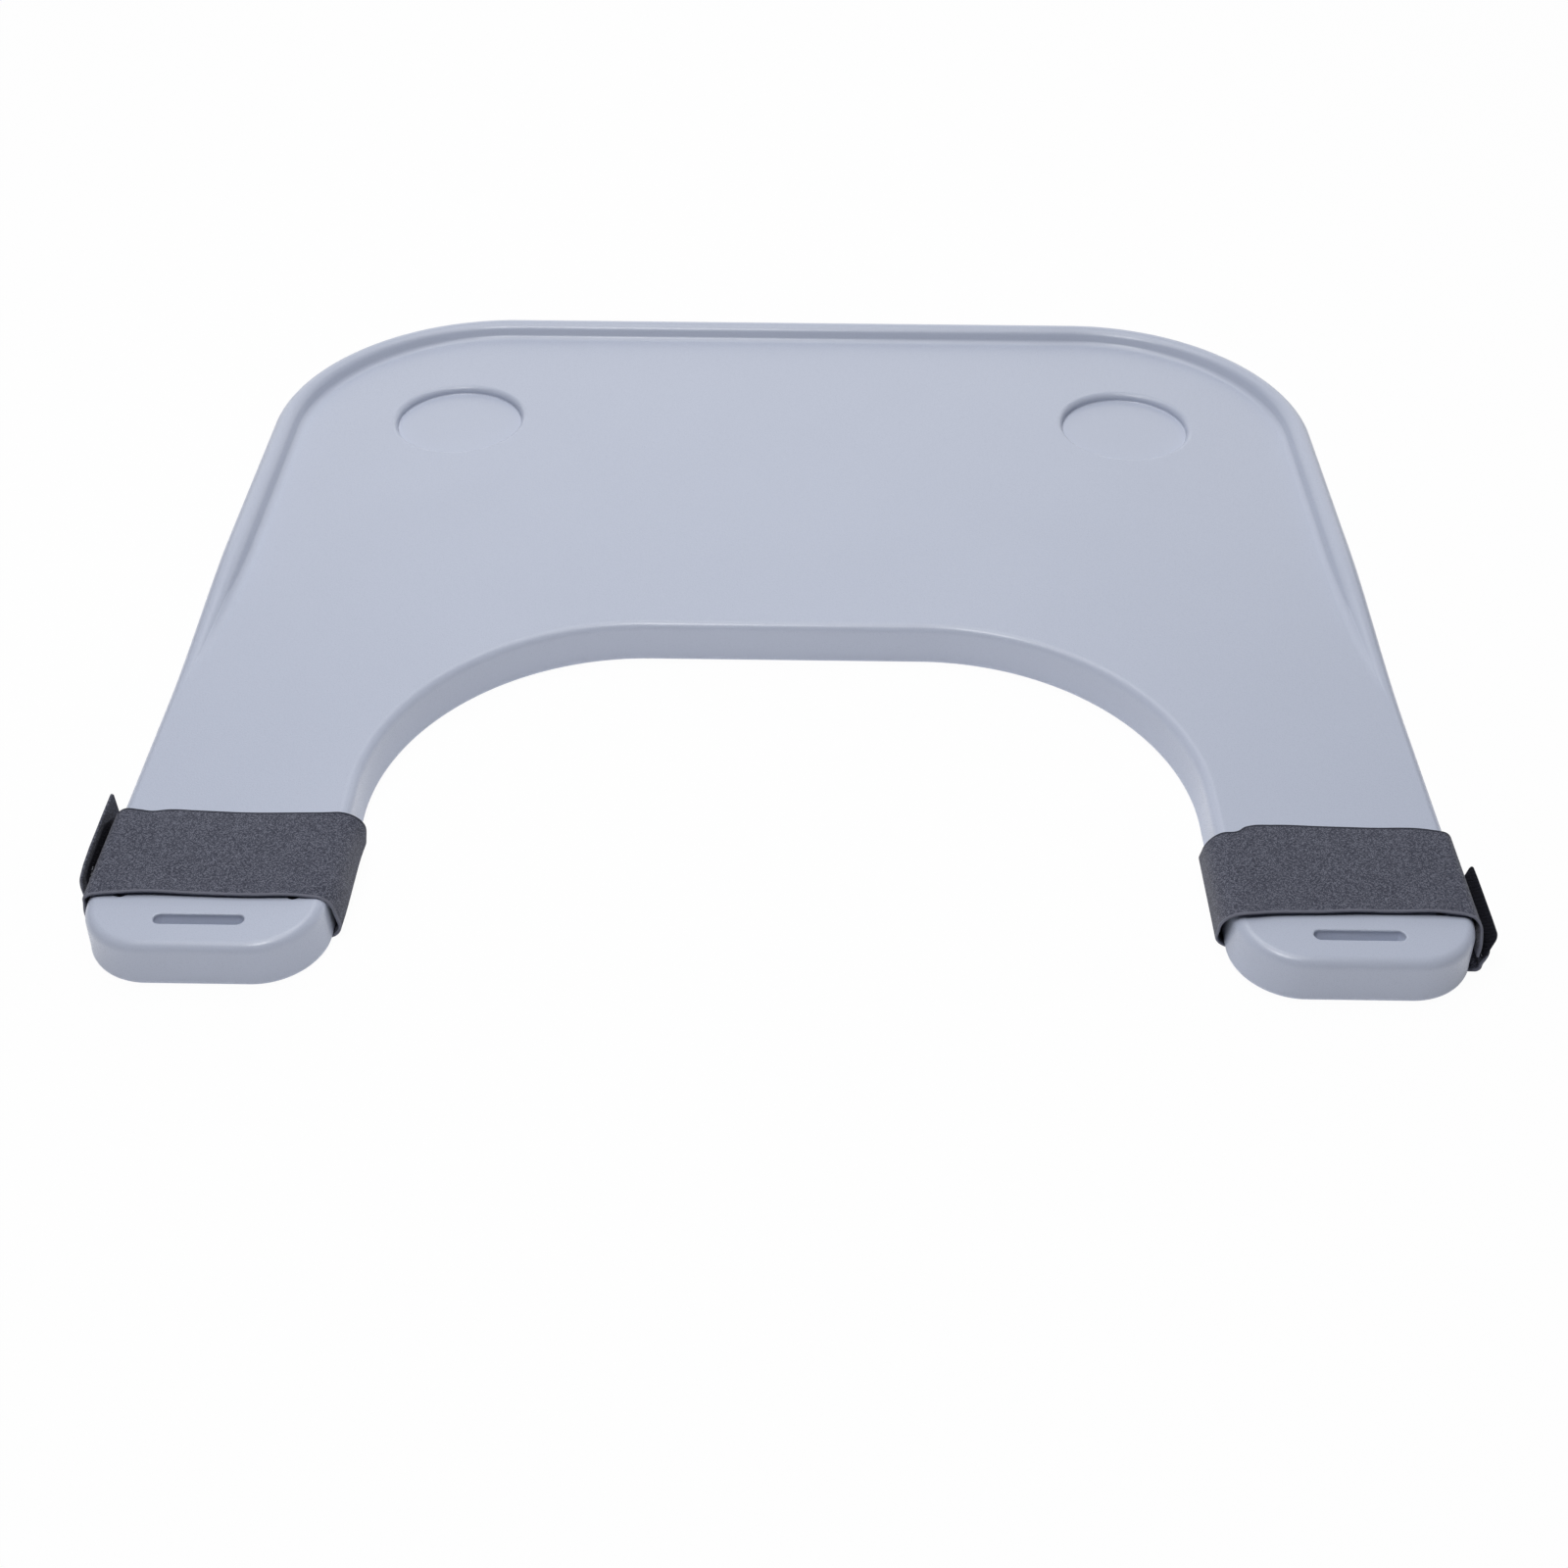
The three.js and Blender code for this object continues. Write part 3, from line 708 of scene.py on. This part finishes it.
def outline_heights(width, shares, heights, corners):
    """The height of an edge across a piece. Within a corner's radius r of a side it drops by
    r - sqrt(r * r - (r - d) * (r - d)), where d is the distance from that side."""
    height = np.interp(across_share, shares, heights) * MM
    for radius, from_side in zip(corners, (across_share * width, (1 - across_share) * width)):
        into = np.clip(radius - from_side, 0, radius)
        height = height - radius + np.sqrt(radius ** 2 - into ** 2)
    return height


def free_piece(name, strap, front_y, width, offset, half, low, high, joined):
    """A flat piece of the free end between two lines of heights. Its edges are rounded over: near an edge
    the thickness falls as the cos of an angle while the height goes on as its sin."""
    over = np.linspace(0, end_turn, end_steps)
    run = np.linspace(0, 1, run_points)
    up_share = np.concatenate([run, np.ones(end_steps - 1)])
    angle = np.concatenate([np.zeros(len(run)), over[1:]])
    foot = 0
    if not joined:
        foot = half
        up_share = np.concatenate([np.zeros(end_steps - 1), up_share])
        angle = np.concatenate([-over[:0:-1], angle])
    reach = low + foot + up_share[:, None] * (high - low - foot - half) + half * np.sin(angle)[:, None]
    halves = half * np.cos(angle)[:, None]
    y = front_y + half + across_share * (width - 2 * half) + halves * edge_reach
    middle = free_place(strap, offset, reach, y)
    piece = strip_solid(name, middle, free_normal(strap), halves, path_along[-1] + reach)
    print(name, len(piece.data.polygons), "faces")
    return piece


print("the free ends turn about x =", round(pivot_x / MM, 2), "mm, z =", round(pivot_z / MM, 2), "mm")

# %% Flaps and hook tapes
tape_backing = 0.5 * MM
tape_offset = -(half_band + tape_backing / 2)

for strap in (left, right):
    label, body = strap["label"], strap["label"] + "_strap_end"
    edge_y = band_front_y + strap["skew"]
    top = outline_heights(band_width, strap["flap_shares"], strap["flap_heights"], strap["flap_corners"])
    bottom = np.full(len(across_share), -2 * seat_gap)
    flap = free_piece(label + "_strap_flap", strap, edge_y, band_width, 0, half_band, bottom, top, True)
    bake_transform(flap)
    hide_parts(label + "_strap_free_end")

    top = outline_heights(tape_width, strap["tape_shares"], strap["tape_heights"], strap["tape_corners"])
    corners = outline_heights(tape_width, (0, 1), (0, 0), strap["tape_corners"])
    tape_y = edge_y + strap["tape_margin"]
    tape = free_piece(label + "_strap_tape", strap, tape_y, tape_width, tape_offset, tape_backing / 2,
                      tape_start - corners, top, False)
    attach(tape, body)
    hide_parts(label + "_strap_hook_tape")

# %% [markdown]
# ## Hooks and stitches
# The tape's inner face carries rows of small stiff hooks, which catch in the loops of the band. A bump would
# do from afar, but the free end can be opened, so each hook is a short bent tube. The same little function
# makes the stitches, because a hook and a stitch are both a tube along a short line.

# %% Tubes along short lines
tube_sides = 6


def tubes(name, centres, across, up, radius):
    """Closed tubes: centre + radius * (cos a * across + sin a * up), from arrays of shape (tubes, rings, 3)
    for the centres and directions, and (rings,) for the radius."""
    turn = np.linspace(0, 2 * math.pi, tube_sides, endpoint=False)
    spokes = np.cos(turn)[:, None] * across[..., None, :] + np.sin(turn)[:, None] * up[..., None, :]
    return closed_solids(name, centres[..., None, :] + radius[None, :, None, None] * spokes)


print("a hook or a stitch has", tube_sides, "sides")

# %% Hooks
hook_pitch = 1.6 * MM
hook_margin = 1.4 * MM
hook_radius = 0.11 * MM
hook_stem = 0.42 * MM
hook_bend = 0.26 * MM
hook_end_turn = 0.15 * math.pi
hook_root_share = 1.2
hook_tip_share = 0.8
stem_steps = 2
bend_steps = 5


def hook_field(strap, tape_y, top):
    """A hook is a stem and then most of half a circle, on a grid of places inside the tape's outline."""
    columns = np.arange(hook_margin, tape_width - hook_margin, hook_pitch)
    rows = np.arange(tape_start + hook_margin, top.max(), hook_pitch)
    across, up = (grid.ravel() for grid in np.meshgrid(columns, rows))
    edge_height = np.interp(across / tape_width, across_share[:across_steps], top[:across_steps])
    inside = up < edge_height - hook_margin
    across, up = across[inside], up[inside]
    stem = line((0, 0), (0, hook_stem), stem_steps)
    bend = arc((hook_bend, hook_stem), hook_bend, math.pi, hook_end_turn, bend_steps)[1:]
    sideways, outwards = np.concatenate([stem, bend]).T
    tangent = np.gradient(np.stack([sideways, outwards], axis=1), axis=0)
    tangent /= np.linalg.norm(tangent, axis=1, keepdims=True)
    base = -(half_band + tape_backing)
    centres = free_place(strap, base - outwards, up[:, None], tape_y + across[:, None] + sideways)
    along_y = np.array([0, 1, 0])
    normal = -free_normal(strap)
    spoke = tangent[:, 1:] * along_y - tangent[:, :1] * normal
    upwards = np.cross(normal, along_y)
    shape = centres.shape
    radius = hook_radius * np.linspace(hook_root_share, hook_tip_share, len(sideways))
    return tubes(strap["label"] + "_strap_hooks", centres, np.broadcast_to(spoke, shape),
                 np.broadcast_to(upwards, shape), radius)


for strap in (left, right):
    tape_y = band_front_y + strap["skew"] + strap["tape_margin"]
    top = outline_heights(tape_width, strap["tape_shares"], strap["tape_heights"], strap["tape_corners"])
    hooks = hook_field(strap, tape_y, top)
    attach(hooks, strap["label"] + "_strap_end")
    print(hooks.name, len(hooks.data.polygons), "faces")

# %% Stitches
stitch_pitch = 2.7 * MM
stitch_length = 2.2 * MM
thread_radius = 0.22 * MM
stitch_sink = 0.05 * MM
stitch_rings = 7
stitch_turn = math.radians(80)

left["seam"] = (
    (0.03, 4.2), (0.03, 17.6), (0.12, 19.6), (0.69, 20.6), (0.975, 13.6), (0.975, 4.2), (0.03, 4.2),
)
left["inner_seam"] = ((0.02, 15.2), (0.2, 17.4))
right["seam"] = ((0.03, 4.2), (0.03, 7.2), (0.97, 7.2), (0.97, 4.2), (0.03, 4.2))
right["inner_seam"] = ((0.03, 4.2), (0.97, 4.2))


def stitch_line(seam):
    """The points of each stitch along a line of corners, in (across, up): shape (stitches, points, 2)."""
    corners = np.array(seam) * (tape_width, MM)
    way = np.linspace(-1, 1, stitch_rings)[:, None]
    stitches = []
    for start, end in zip(corners[:-1], corners[1:]):
        length = np.linalg.norm(end - start)
        count = max(int(round(length / stitch_pitch)), 1)
        middles = start + ((np.arange(count) + 0.5) / count)[:, None] * (end - start)
        stitches.append(middles[:, None, :] + way * (end - start) / length * stitch_length / 2)
    return np.concatenate(stitches)


def stitch_solids(strap, tape_y):
    """Each stitch is a thread that dips into the cloth at both ends: its radius and its height over the
    cloth both follow the cos of the way from its middle."""
    bulge = np.cos(np.linspace(-1, 1, stitch_rings) * stitch_turn)
    rise = thread_radius * bulge - stitch_sink
    faces = []
    for seam, offset in (("seam", half_band + rise), ("inner_seam", -half_band - tape_backing - rise)):
        flat = stitch_line(strap[seam])
        faces.append(free_place(strap, offset, flat[..., 1], tape_y + flat[..., 0]))
    centres = np.concatenate(faces)
    run = np.gradient(centres, axis=1)
    run /= np.linalg.norm(run, axis=2, keepdims=True)
    normal = np.broadcast_to(free_normal(strap), centres.shape)
    across = np.cross(run, normal)
    across /= np.linalg.norm(across, axis=2, keepdims=True)
    return tubes(strap["label"] + "_strap_stitching", centres, across, np.cross(across, run),
                 thread_radius * np.sqrt(bulge))


for strap in (left, right):
    label = strap["label"]
    stitching = stitch_solids(strap, band_front_y + strap["skew"] + strap["tape_margin"])
    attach(stitching, label + "_strap_end")
    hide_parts(label + "_strap_upper_stitch_row", label + "_strap_lower_stitch_row")
    print(stitching.name, len(stitching.data.polygons), "faces")

# %% [markdown]
# ## Colours and node helpers
# A finish is a small network of nodes. Colours are written as they look on a screen, from 0 to 255, and are
# turned into the linear values that Blender works in. An effect that two finishes share is a node group.

# %% Node helpers
def tone(red, green, blue):
    """A screen colour as linear values: for each of them c / 12.92 up to 0.04045, and above that
    ((c + 0.055) / 1.055) to the power 2.4, where c is the value over 255."""
    channels = np.array([red, green, blue]) / 255
    linear = np.where(channels <= 0.04045, channels / 12.92, ((channels + 0.055) / 1.055) ** 2.4)
    return (*linear.tolist(), 1.0)


def add_node(tree, kind, inputs=None, **settings):
    """A node whose inputs are set to values, or joined to the sockets that are given for them."""
    node = tree.nodes.new(kind)
    for name, value in settings.items():
        setattr(node, name, value)
    for name, value in (inputs or {}).items():
        if isinstance(value, bpy.types.NodeSocket):
            tree.links.new(value, node.inputs[name])
        else:
            node.inputs[name].default_value = value
    return node


def math_node(tree, operation, first, second):
    """One sum of two numbers or sockets."""
    return add_node(tree, "ShaderNodeMath", {0: first, 1: second}, operation=operation).outputs[0]


def ramp(tree, value, low, high, to_low=0.0, to_high=1.0):
    """A value carried from one range to another by a smooth step, and kept inside it."""
    limits = {"Value": value, "From Min": low, "From Max": high, "To Min": to_low, "To Max": to_high}
    return add_node(tree, "ShaderNodeMapRange", limits, interpolation_type="SMOOTHSTEP").outputs[0]


mix_factor, mix_first, mix_second = 0, 6, 7
mix_result = 2


def mixed(tree, factor, first, second):
    """first where the factor is 0 and second where it is 1. A Mix node has sockets for each kind of value,
    so the ones for colours are picked by their numbers."""
    inputs = {mix_factor: factor, mix_first: first, mix_second: second}
    return add_node(tree, "ShaderNodeMix", inputs, data_type="RGBA").outputs[mix_result]


def new_group(name, inputs, outputs):
    """An empty node group with named inputs and outputs."""
    group = bpy.data.node_groups.new(name, "ShaderNodeTree")
    for socket, kind in inputs.items():
        group.interface.new_socket(socket, in_out="INPUT", socket_type=kind)
    for socket, kind in outputs.items():
        group.interface.new_socket(socket, in_out="OUTPUT", socket_type=kind)
    return group, group.nodes.new("NodeGroupInput").outputs, group.nodes.new("NodeGroupOutput").inputs


def use_group(tree, group, inputs):
    """A placed group, with its inputs set or joined."""
    return add_node(tree, "ShaderNodeGroup", inputs, node_tree=group).outputs


def new_material(name):
    """A material with its node tree and its Principled shader."""
    material = bpy.data.materials.new(name)
    material.use_nodes = True
    return material, material.node_tree, material.node_tree.nodes["Principled BSDF"]


def roughen(tree, shader, height, depth):
    """Gives a finish its relief: a height from 0 to about 1, as bumps of a depth in metres."""
    bump = add_node(tree, "ShaderNodeBump", {"Height": height, "Strength": 1.0, "Distance": depth})
    tree.links.new(bump.outputs[0], shader.inputs["Normal"])


print("mid grey 128 is", round(tone(128, 128, 128)[0], 4), "in linear values")

# %% Mottling, for plastic and cloth
mottle, given, result = new_group(
    "mottle",
    {"Vector": "NodeSocketVector", "Per metre": "NodeSocketFloat"},
    {"Shade": "NodeSocketFloat"},
)
clouds = add_node(mottle, "ShaderNodeTexNoise",
                  {"Vector": given["Vector"], "Scale": given["Per metre"], "Detail": 3.0})
mottle.links.new(ramp(mottle, clouds.outputs[0], 0.3, 0.7), result["Shade"])
print("mottle nodes:", len(mottle.nodes))

# %% [markdown]
# ## Tray plastic
# The tray is a pale blue-grey polyethylene with a satin, fine leather grain from the mould. The grain breaks
# up the highlights on its rounded edges into small sparkles. It is far too fine to model, so it is a bump:
# cells about a millimetre wide, with shallow valleys between them.

# %% Plastic
grain_depth = 0.032 * MM
fine_share = 0.35

plastic, tree, shader = new_material("tray_plastic")
place = tree.nodes.new("ShaderNodeTexCoord").outputs["Object"]
clouding = use_group(tree, mottle, {"Vector": place, "Per metre": 14.0})["Shade"]
colour = mixed(tree, clouding, tone(187, 194, 212), tone(188, 195, 213))
tree.links.new(colour, shader.inputs["Base Color"])
cells = add_node(tree, "ShaderNodeTexVoronoi", {"Vector": place, "Scale": 1100.0, "Smoothness": 0.6},
                 feature="SMOOTH_F1")
fine = add_node(tree, "ShaderNodeTexNoise", {"Vector": place, "Scale": 2400.0, "Detail": 2.0})
fine_height = math_node(tree, "MULTIPLY", fine.outputs[0], fine_share)
grain = math_node(tree, "ADD", cells.outputs["Distance"], fine_height)
roughen(tree, shader, grain, grain_depth)
satin = ramp(tree, fine.outputs[0], 0.3, 0.7, to_low=0.26, to_high=0.34)
tree.links.new(satin, shader.inputs["Roughness"])
tray.data.materials.clear()
tray.data.materials.append(plastic)
print("plastic nodes:", len(tree.nodes))

# %% [markdown]
# ## Strap cloth
# The strap is a knitted loop cloth: tiny tufts of differing greys. A painted highlight lies along its front
# selvedge and painted shade along its back one. The pattern follows the cloth round its bends, so it reads
# the place on the cloth that was stored with each mesh. The tufts are the cells of a cell texture, with faint
# slanting rows over them.

# %% Tufts
fuzz_scale_share = 1.7
fuzz_height_share = 0.6
row_scale_share = 0.12

tufts, given, result = new_group(
    "tufts",
    {"Vector": "NodeSocketVector", "Per metre": "NodeSocketFloat"},
    {"Height": "NodeSocketFloat", "Tuft": "NodeSocketFloat", "Row": "NodeSocketFloat"},
)
cells = add_node(tufts, "ShaderNodeTexVoronoi",
                 {"Vector": given["Vector"], "Scale": given["Per metre"], "Randomness": 0.75})
fuzz = add_node(tufts, "ShaderNodeTexNoise", {
    "Vector": given["Vector"],
    "Scale": math_node(tufts, "MULTIPLY", given["Per metre"], fuzz_scale_share),
    "Detail": 3.0,
})
slant = add_node(tufts, "ShaderNodeTexWave", {
    "Vector": given["Vector"],
    "Scale": math_node(tufts, "MULTIPLY", given["Per metre"], row_scale_share),
    "Distortion": 1.5,
    "Detail": 1.0,
}, bands_direction="DIAGONAL")
rounded = math_node(tufts, "SUBTRACT", 1.0, cells.outputs["Distance"])
fuzz_height = math_node(tufts, "MULTIPLY", fuzz.outputs[0], fuzz_height_share)
height = math_node(tufts, "ADD", rounded, fuzz_height)
tufts.links.new(height, result["Height"])
chance = add_node(tufts, "ShaderNodeSeparateColor", {0: cells.outputs["Color"]})
tufts.links.new(ramp(tufts, chance.outputs[0], 0.35, 1.0), result["Tuft"])
tufts.links.new(slant.outputs[1], result["Row"])
print("tuft nodes:", len(tufts.nodes))

# %% Cloth, with a painted highlight and painted shade at its selvedges
tuft_strength = 0.6
row_strength = 0.2
pile_depth = 0.16 * MM
# Painted light on the cloth: a painted highlight along the front selvedge and painted shade along the back
# one. Each pair gives where across the cloth that colour stands fully and where it has faded out.
front_edge_highlight = (0.25 * MM, 0.9 * MM)
back_edge_shade = (band_width - 0.4 * MM, band_width - 1.3 * MM)


def cloth_place(tree):
    """The stored place on the cloth: along, across and side."""
    return add_node(tree, "ShaderNodeAttribute", attribute_name="cloth").outputs["Vector"]


webbing, tree, shader = new_material("strap_cloth")
place = cloth_place(tree)
pile = use_group(tree, tufts, {"Vector": place, "Per metre": 2200.0})
clouding = use_group(tree, mottle, {"Vector": place, "Per metre": 90.0})["Shade"]
ground = mixed(tree, clouding, tone(60, 62, 75), tone(64, 66, 79))
rows = mixed(tree, math_node(tree, "MULTIPLY", pile["Row"], row_strength), ground, tone(94, 97, 111))
tufted = mixed(tree, math_node(tree, "MULTIPLY", pile["Tuft"], tuft_strength), rows, tone(134, 137, 152))
across = add_node(tree, "ShaderNodeSeparateXYZ", {0: place}).outputs[1]
# The lighter colour at the front selvedge is a painted highlight, the darker one at the back is painted
# shade.
front_highlight_mask = ramp(tree, across, *front_edge_highlight)
back_shade_mask = ramp(tree, across, *back_edge_shade)
highlighted_cloth = mixed(tree, front_highlight_mask, tone(112, 114, 127), tufted)
tree.links.new(mixed(tree, back_shade_mask, tone(46, 48, 60), highlighted_cloth), shader.inputs["Base Color"])
roughen(tree, shader, pile["Height"], pile_depth)
shader.inputs["Roughness"].default_value = 0.9
shader.inputs["Specular IOR Level"].default_value = 0.2
shader.inputs["Sheen Weight"].default_value = 0.12
shader.inputs["Sheen Roughness"].default_value = 0.5
print("cloth nodes:", len(tree.nodes))

# %% Hook tape and thread
rib_depth = 0.1 * MM
twist_depth = 0.06 * MM

hook_cloth, tree, shader = new_material("hook_tape")
place = cloth_place(tree)
ribs = use_group(tree, tufts, {"Vector": place, "Per metre": 1900.0})
colour = mixed(tree, ribs["Row"], tone(24, 25, 34), tone(36, 37, 48))
tree.links.new(colour, shader.inputs["Base Color"])
roughen(tree, shader, ribs["Height"], rib_depth)
shader.inputs["Roughness"].default_value = 0.72
shader.inputs["Specular IOR Level"].default_value = 0.3

sewing_thread, tree, shader = new_material("sewing_thread")
place = tree.nodes.new("ShaderNodeTexCoord").outputs["Object"]
twist = add_node(tree, "ShaderNodeTexWave", {"Vector": place, "Scale": 900.0}, bands_direction="DIAGONAL")
colour = mixed(tree, twist.outputs[1], tone(122, 124, 136), tone(158, 160, 170))
tree.links.new(colour, shader.inputs["Base Color"])
roughen(tree, shader, twist.outputs[1], twist_depth)
shader.inputs["Roughness"].default_value = 0.7

finishes = {
    "_strap_wrap": webbing,
    "_strap_flap": webbing,
    "_strap_tape": hook_cloth,
    "_strap_hooks": hook_cloth,
    "_strap_stitching": sewing_thread,
}
for strap in (left, right):
    for ending, finish in finishes.items():
        bpy.data.objects[strap["label"] + ending].data.materials.append(finish)
print("finishes:", sorted(material.name for material in bpy.data.materials if material.users))

# %% [markdown]
# ## Camera, floor and light
# The camera stands in front of the arms and looks down at the table, as in the photograph. A wide softbox
# hangs over the tray, with a small key lamp in front of it that brightens the rounded edges, and a rear lamp
# for the far rim. A low bright panel beyond the far edge is mirrored in the table, except close to the rim,
# which hides it. The floor looks white to the camera. To everything else it is pale paper that also gives off
# a little light, as a white studio does, so that the walls of the tray aren't dark.

# %% Camera
camera_data = bpy.data.cameras.new("camera")
camera_data.lens = 46.125
camera_data.sensor_width = 36
camera_place = Vector((11.577, -870.70, 622.97)) * MM
camera_pitch = math.radians(40.376)
camera_turn = math.radians(0.840)
camera_roll = math.radians(0.207)
camera = bpy.data.objects.new("camera", camera_data)
bpy.context.scene.collection.objects.link(camera)
camera.matrix_world = (
    Matrix.Translation(camera_place)
    @ Matrix.Rotation(camera_turn, 4, "Z")
    @ Matrix.Rotation(math.pi / 2 - camera_pitch, 4, "X")
    @ Matrix.Rotation(camera_roll, 4, "Z")
)
bpy.context.scene.camera = camera
bpy.context.scene.view_settings.view_transform = "Standard"
print("camera height:", round(camera_place.z, 3), "m")

# %% Lamps
# Each lamp has a place and a size in metres, and its power in watts. All of them look at the origin.
lamps = {
    "overhead": ((-0.15, 0, 1.7), (1.4, 1.4), 15.0),
    "key": ((-0.25, -0.65, 1.65), (0.4, 0.4), 9.0),
    "rear": ((-0.1, 0.85, 1.5), (1.0, 1.0), 4.5),
    "backdrop": ((0, 1.8, 0.65), (3.2, 1.2), 13.0),
}
for name, (place, size, power) in lamps.items():
    lamp_data = bpy.data.lights.new(name, "AREA")
    lamp_data.shape = "RECTANGLE"
    lamp_data.size, lamp_data.size_y = size
    lamp_data.energy = power
    lamp = bpy.data.objects.new(name, lamp_data)
    lamp.location = place
    lamp.rotation_euler = lamp.location.to_track_quat("Z", "Y").to_euler()
    bpy.context.scene.collection.objects.link(lamp)
print("lamps:", len(lamps))

# %% Floor and backdrop
floor_reach = 6.0
floor_z = band_low_z - half_band
seen_share = 0.97
bounce = 0.33
dome_strength = 0.03

floor_mesh = bpy.data.meshes.new("floor")
plan = ((-1, -1), (1, -1), (1, 1), (-1, 1))
corners = [(x * floor_reach, y * floor_reach, floor_z) for x, y in plan]
floor_mesh.from_pydata(corners, [], [(0, 1, 2, 3)])
floor = bpy.data.objects.new("floor", floor_mesh)
bpy.context.scene.collection.objects.link(floor)

paper = bpy.data.materials.new("white_paper")
paper.use_nodes = True
tree = paper.node_tree
tree.nodes.clear()
matt = add_node(tree, "ShaderNodeBsdfDiffuse", {"Color": tone(236, 236, 238)})
white = add_node(tree, "ShaderNodeEmission", {"Color": (1, 1, 1, 1), "Strength": 1.0})
from_camera = tree.nodes.new("ShaderNodeLightPath").outputs["Is Camera Ray"]
how_white = math_node(tree, "MULTIPLY", from_camera, seen_share)
seen = add_node(tree, "ShaderNodeMixShader", {0: how_white, 1: matt.outputs[0], 2: white.outputs[0]})
strength = math_node(tree, "MULTIPLY", math_node(tree, "SUBTRACT", 1.0, from_camera), bounce)
glow = add_node(tree, "ShaderNodeEmission", {"Color": (1, 1, 1, 1), "Strength": strength})
both = add_node(tree, "ShaderNodeAddShader", {0: seen.outputs[0], 1: glow.outputs[0]})
add_node(tree, "ShaderNodeOutputMaterial", {0: both.outputs[0]})
floor_mesh.materials.append(paper)

world = bpy.data.worlds.new("backdrop")
world.use_nodes = True
bpy.context.scene.world = world
tree = world.node_tree
tree.nodes.clear()
ray = tree.nodes.new("ShaderNodeLightPath").outputs
seen = math_node(tree, "MAXIMUM", ray["Is Camera Ray"], ray["Is Transmission Ray"])
strength = math_node(tree, "ADD", math_node(tree, "MULTIPLY", seen, 1 - dome_strength), dome_strength)
sky = add_node(tree, "ShaderNodeBackground", {"Color": (1, 1, 1, 1), "Strength": strength})
add_node(tree, "ShaderNodeOutputWorld", {0: sky.outputs[0]})
print("floor at", round(floor_z / MM, 2), "mm")
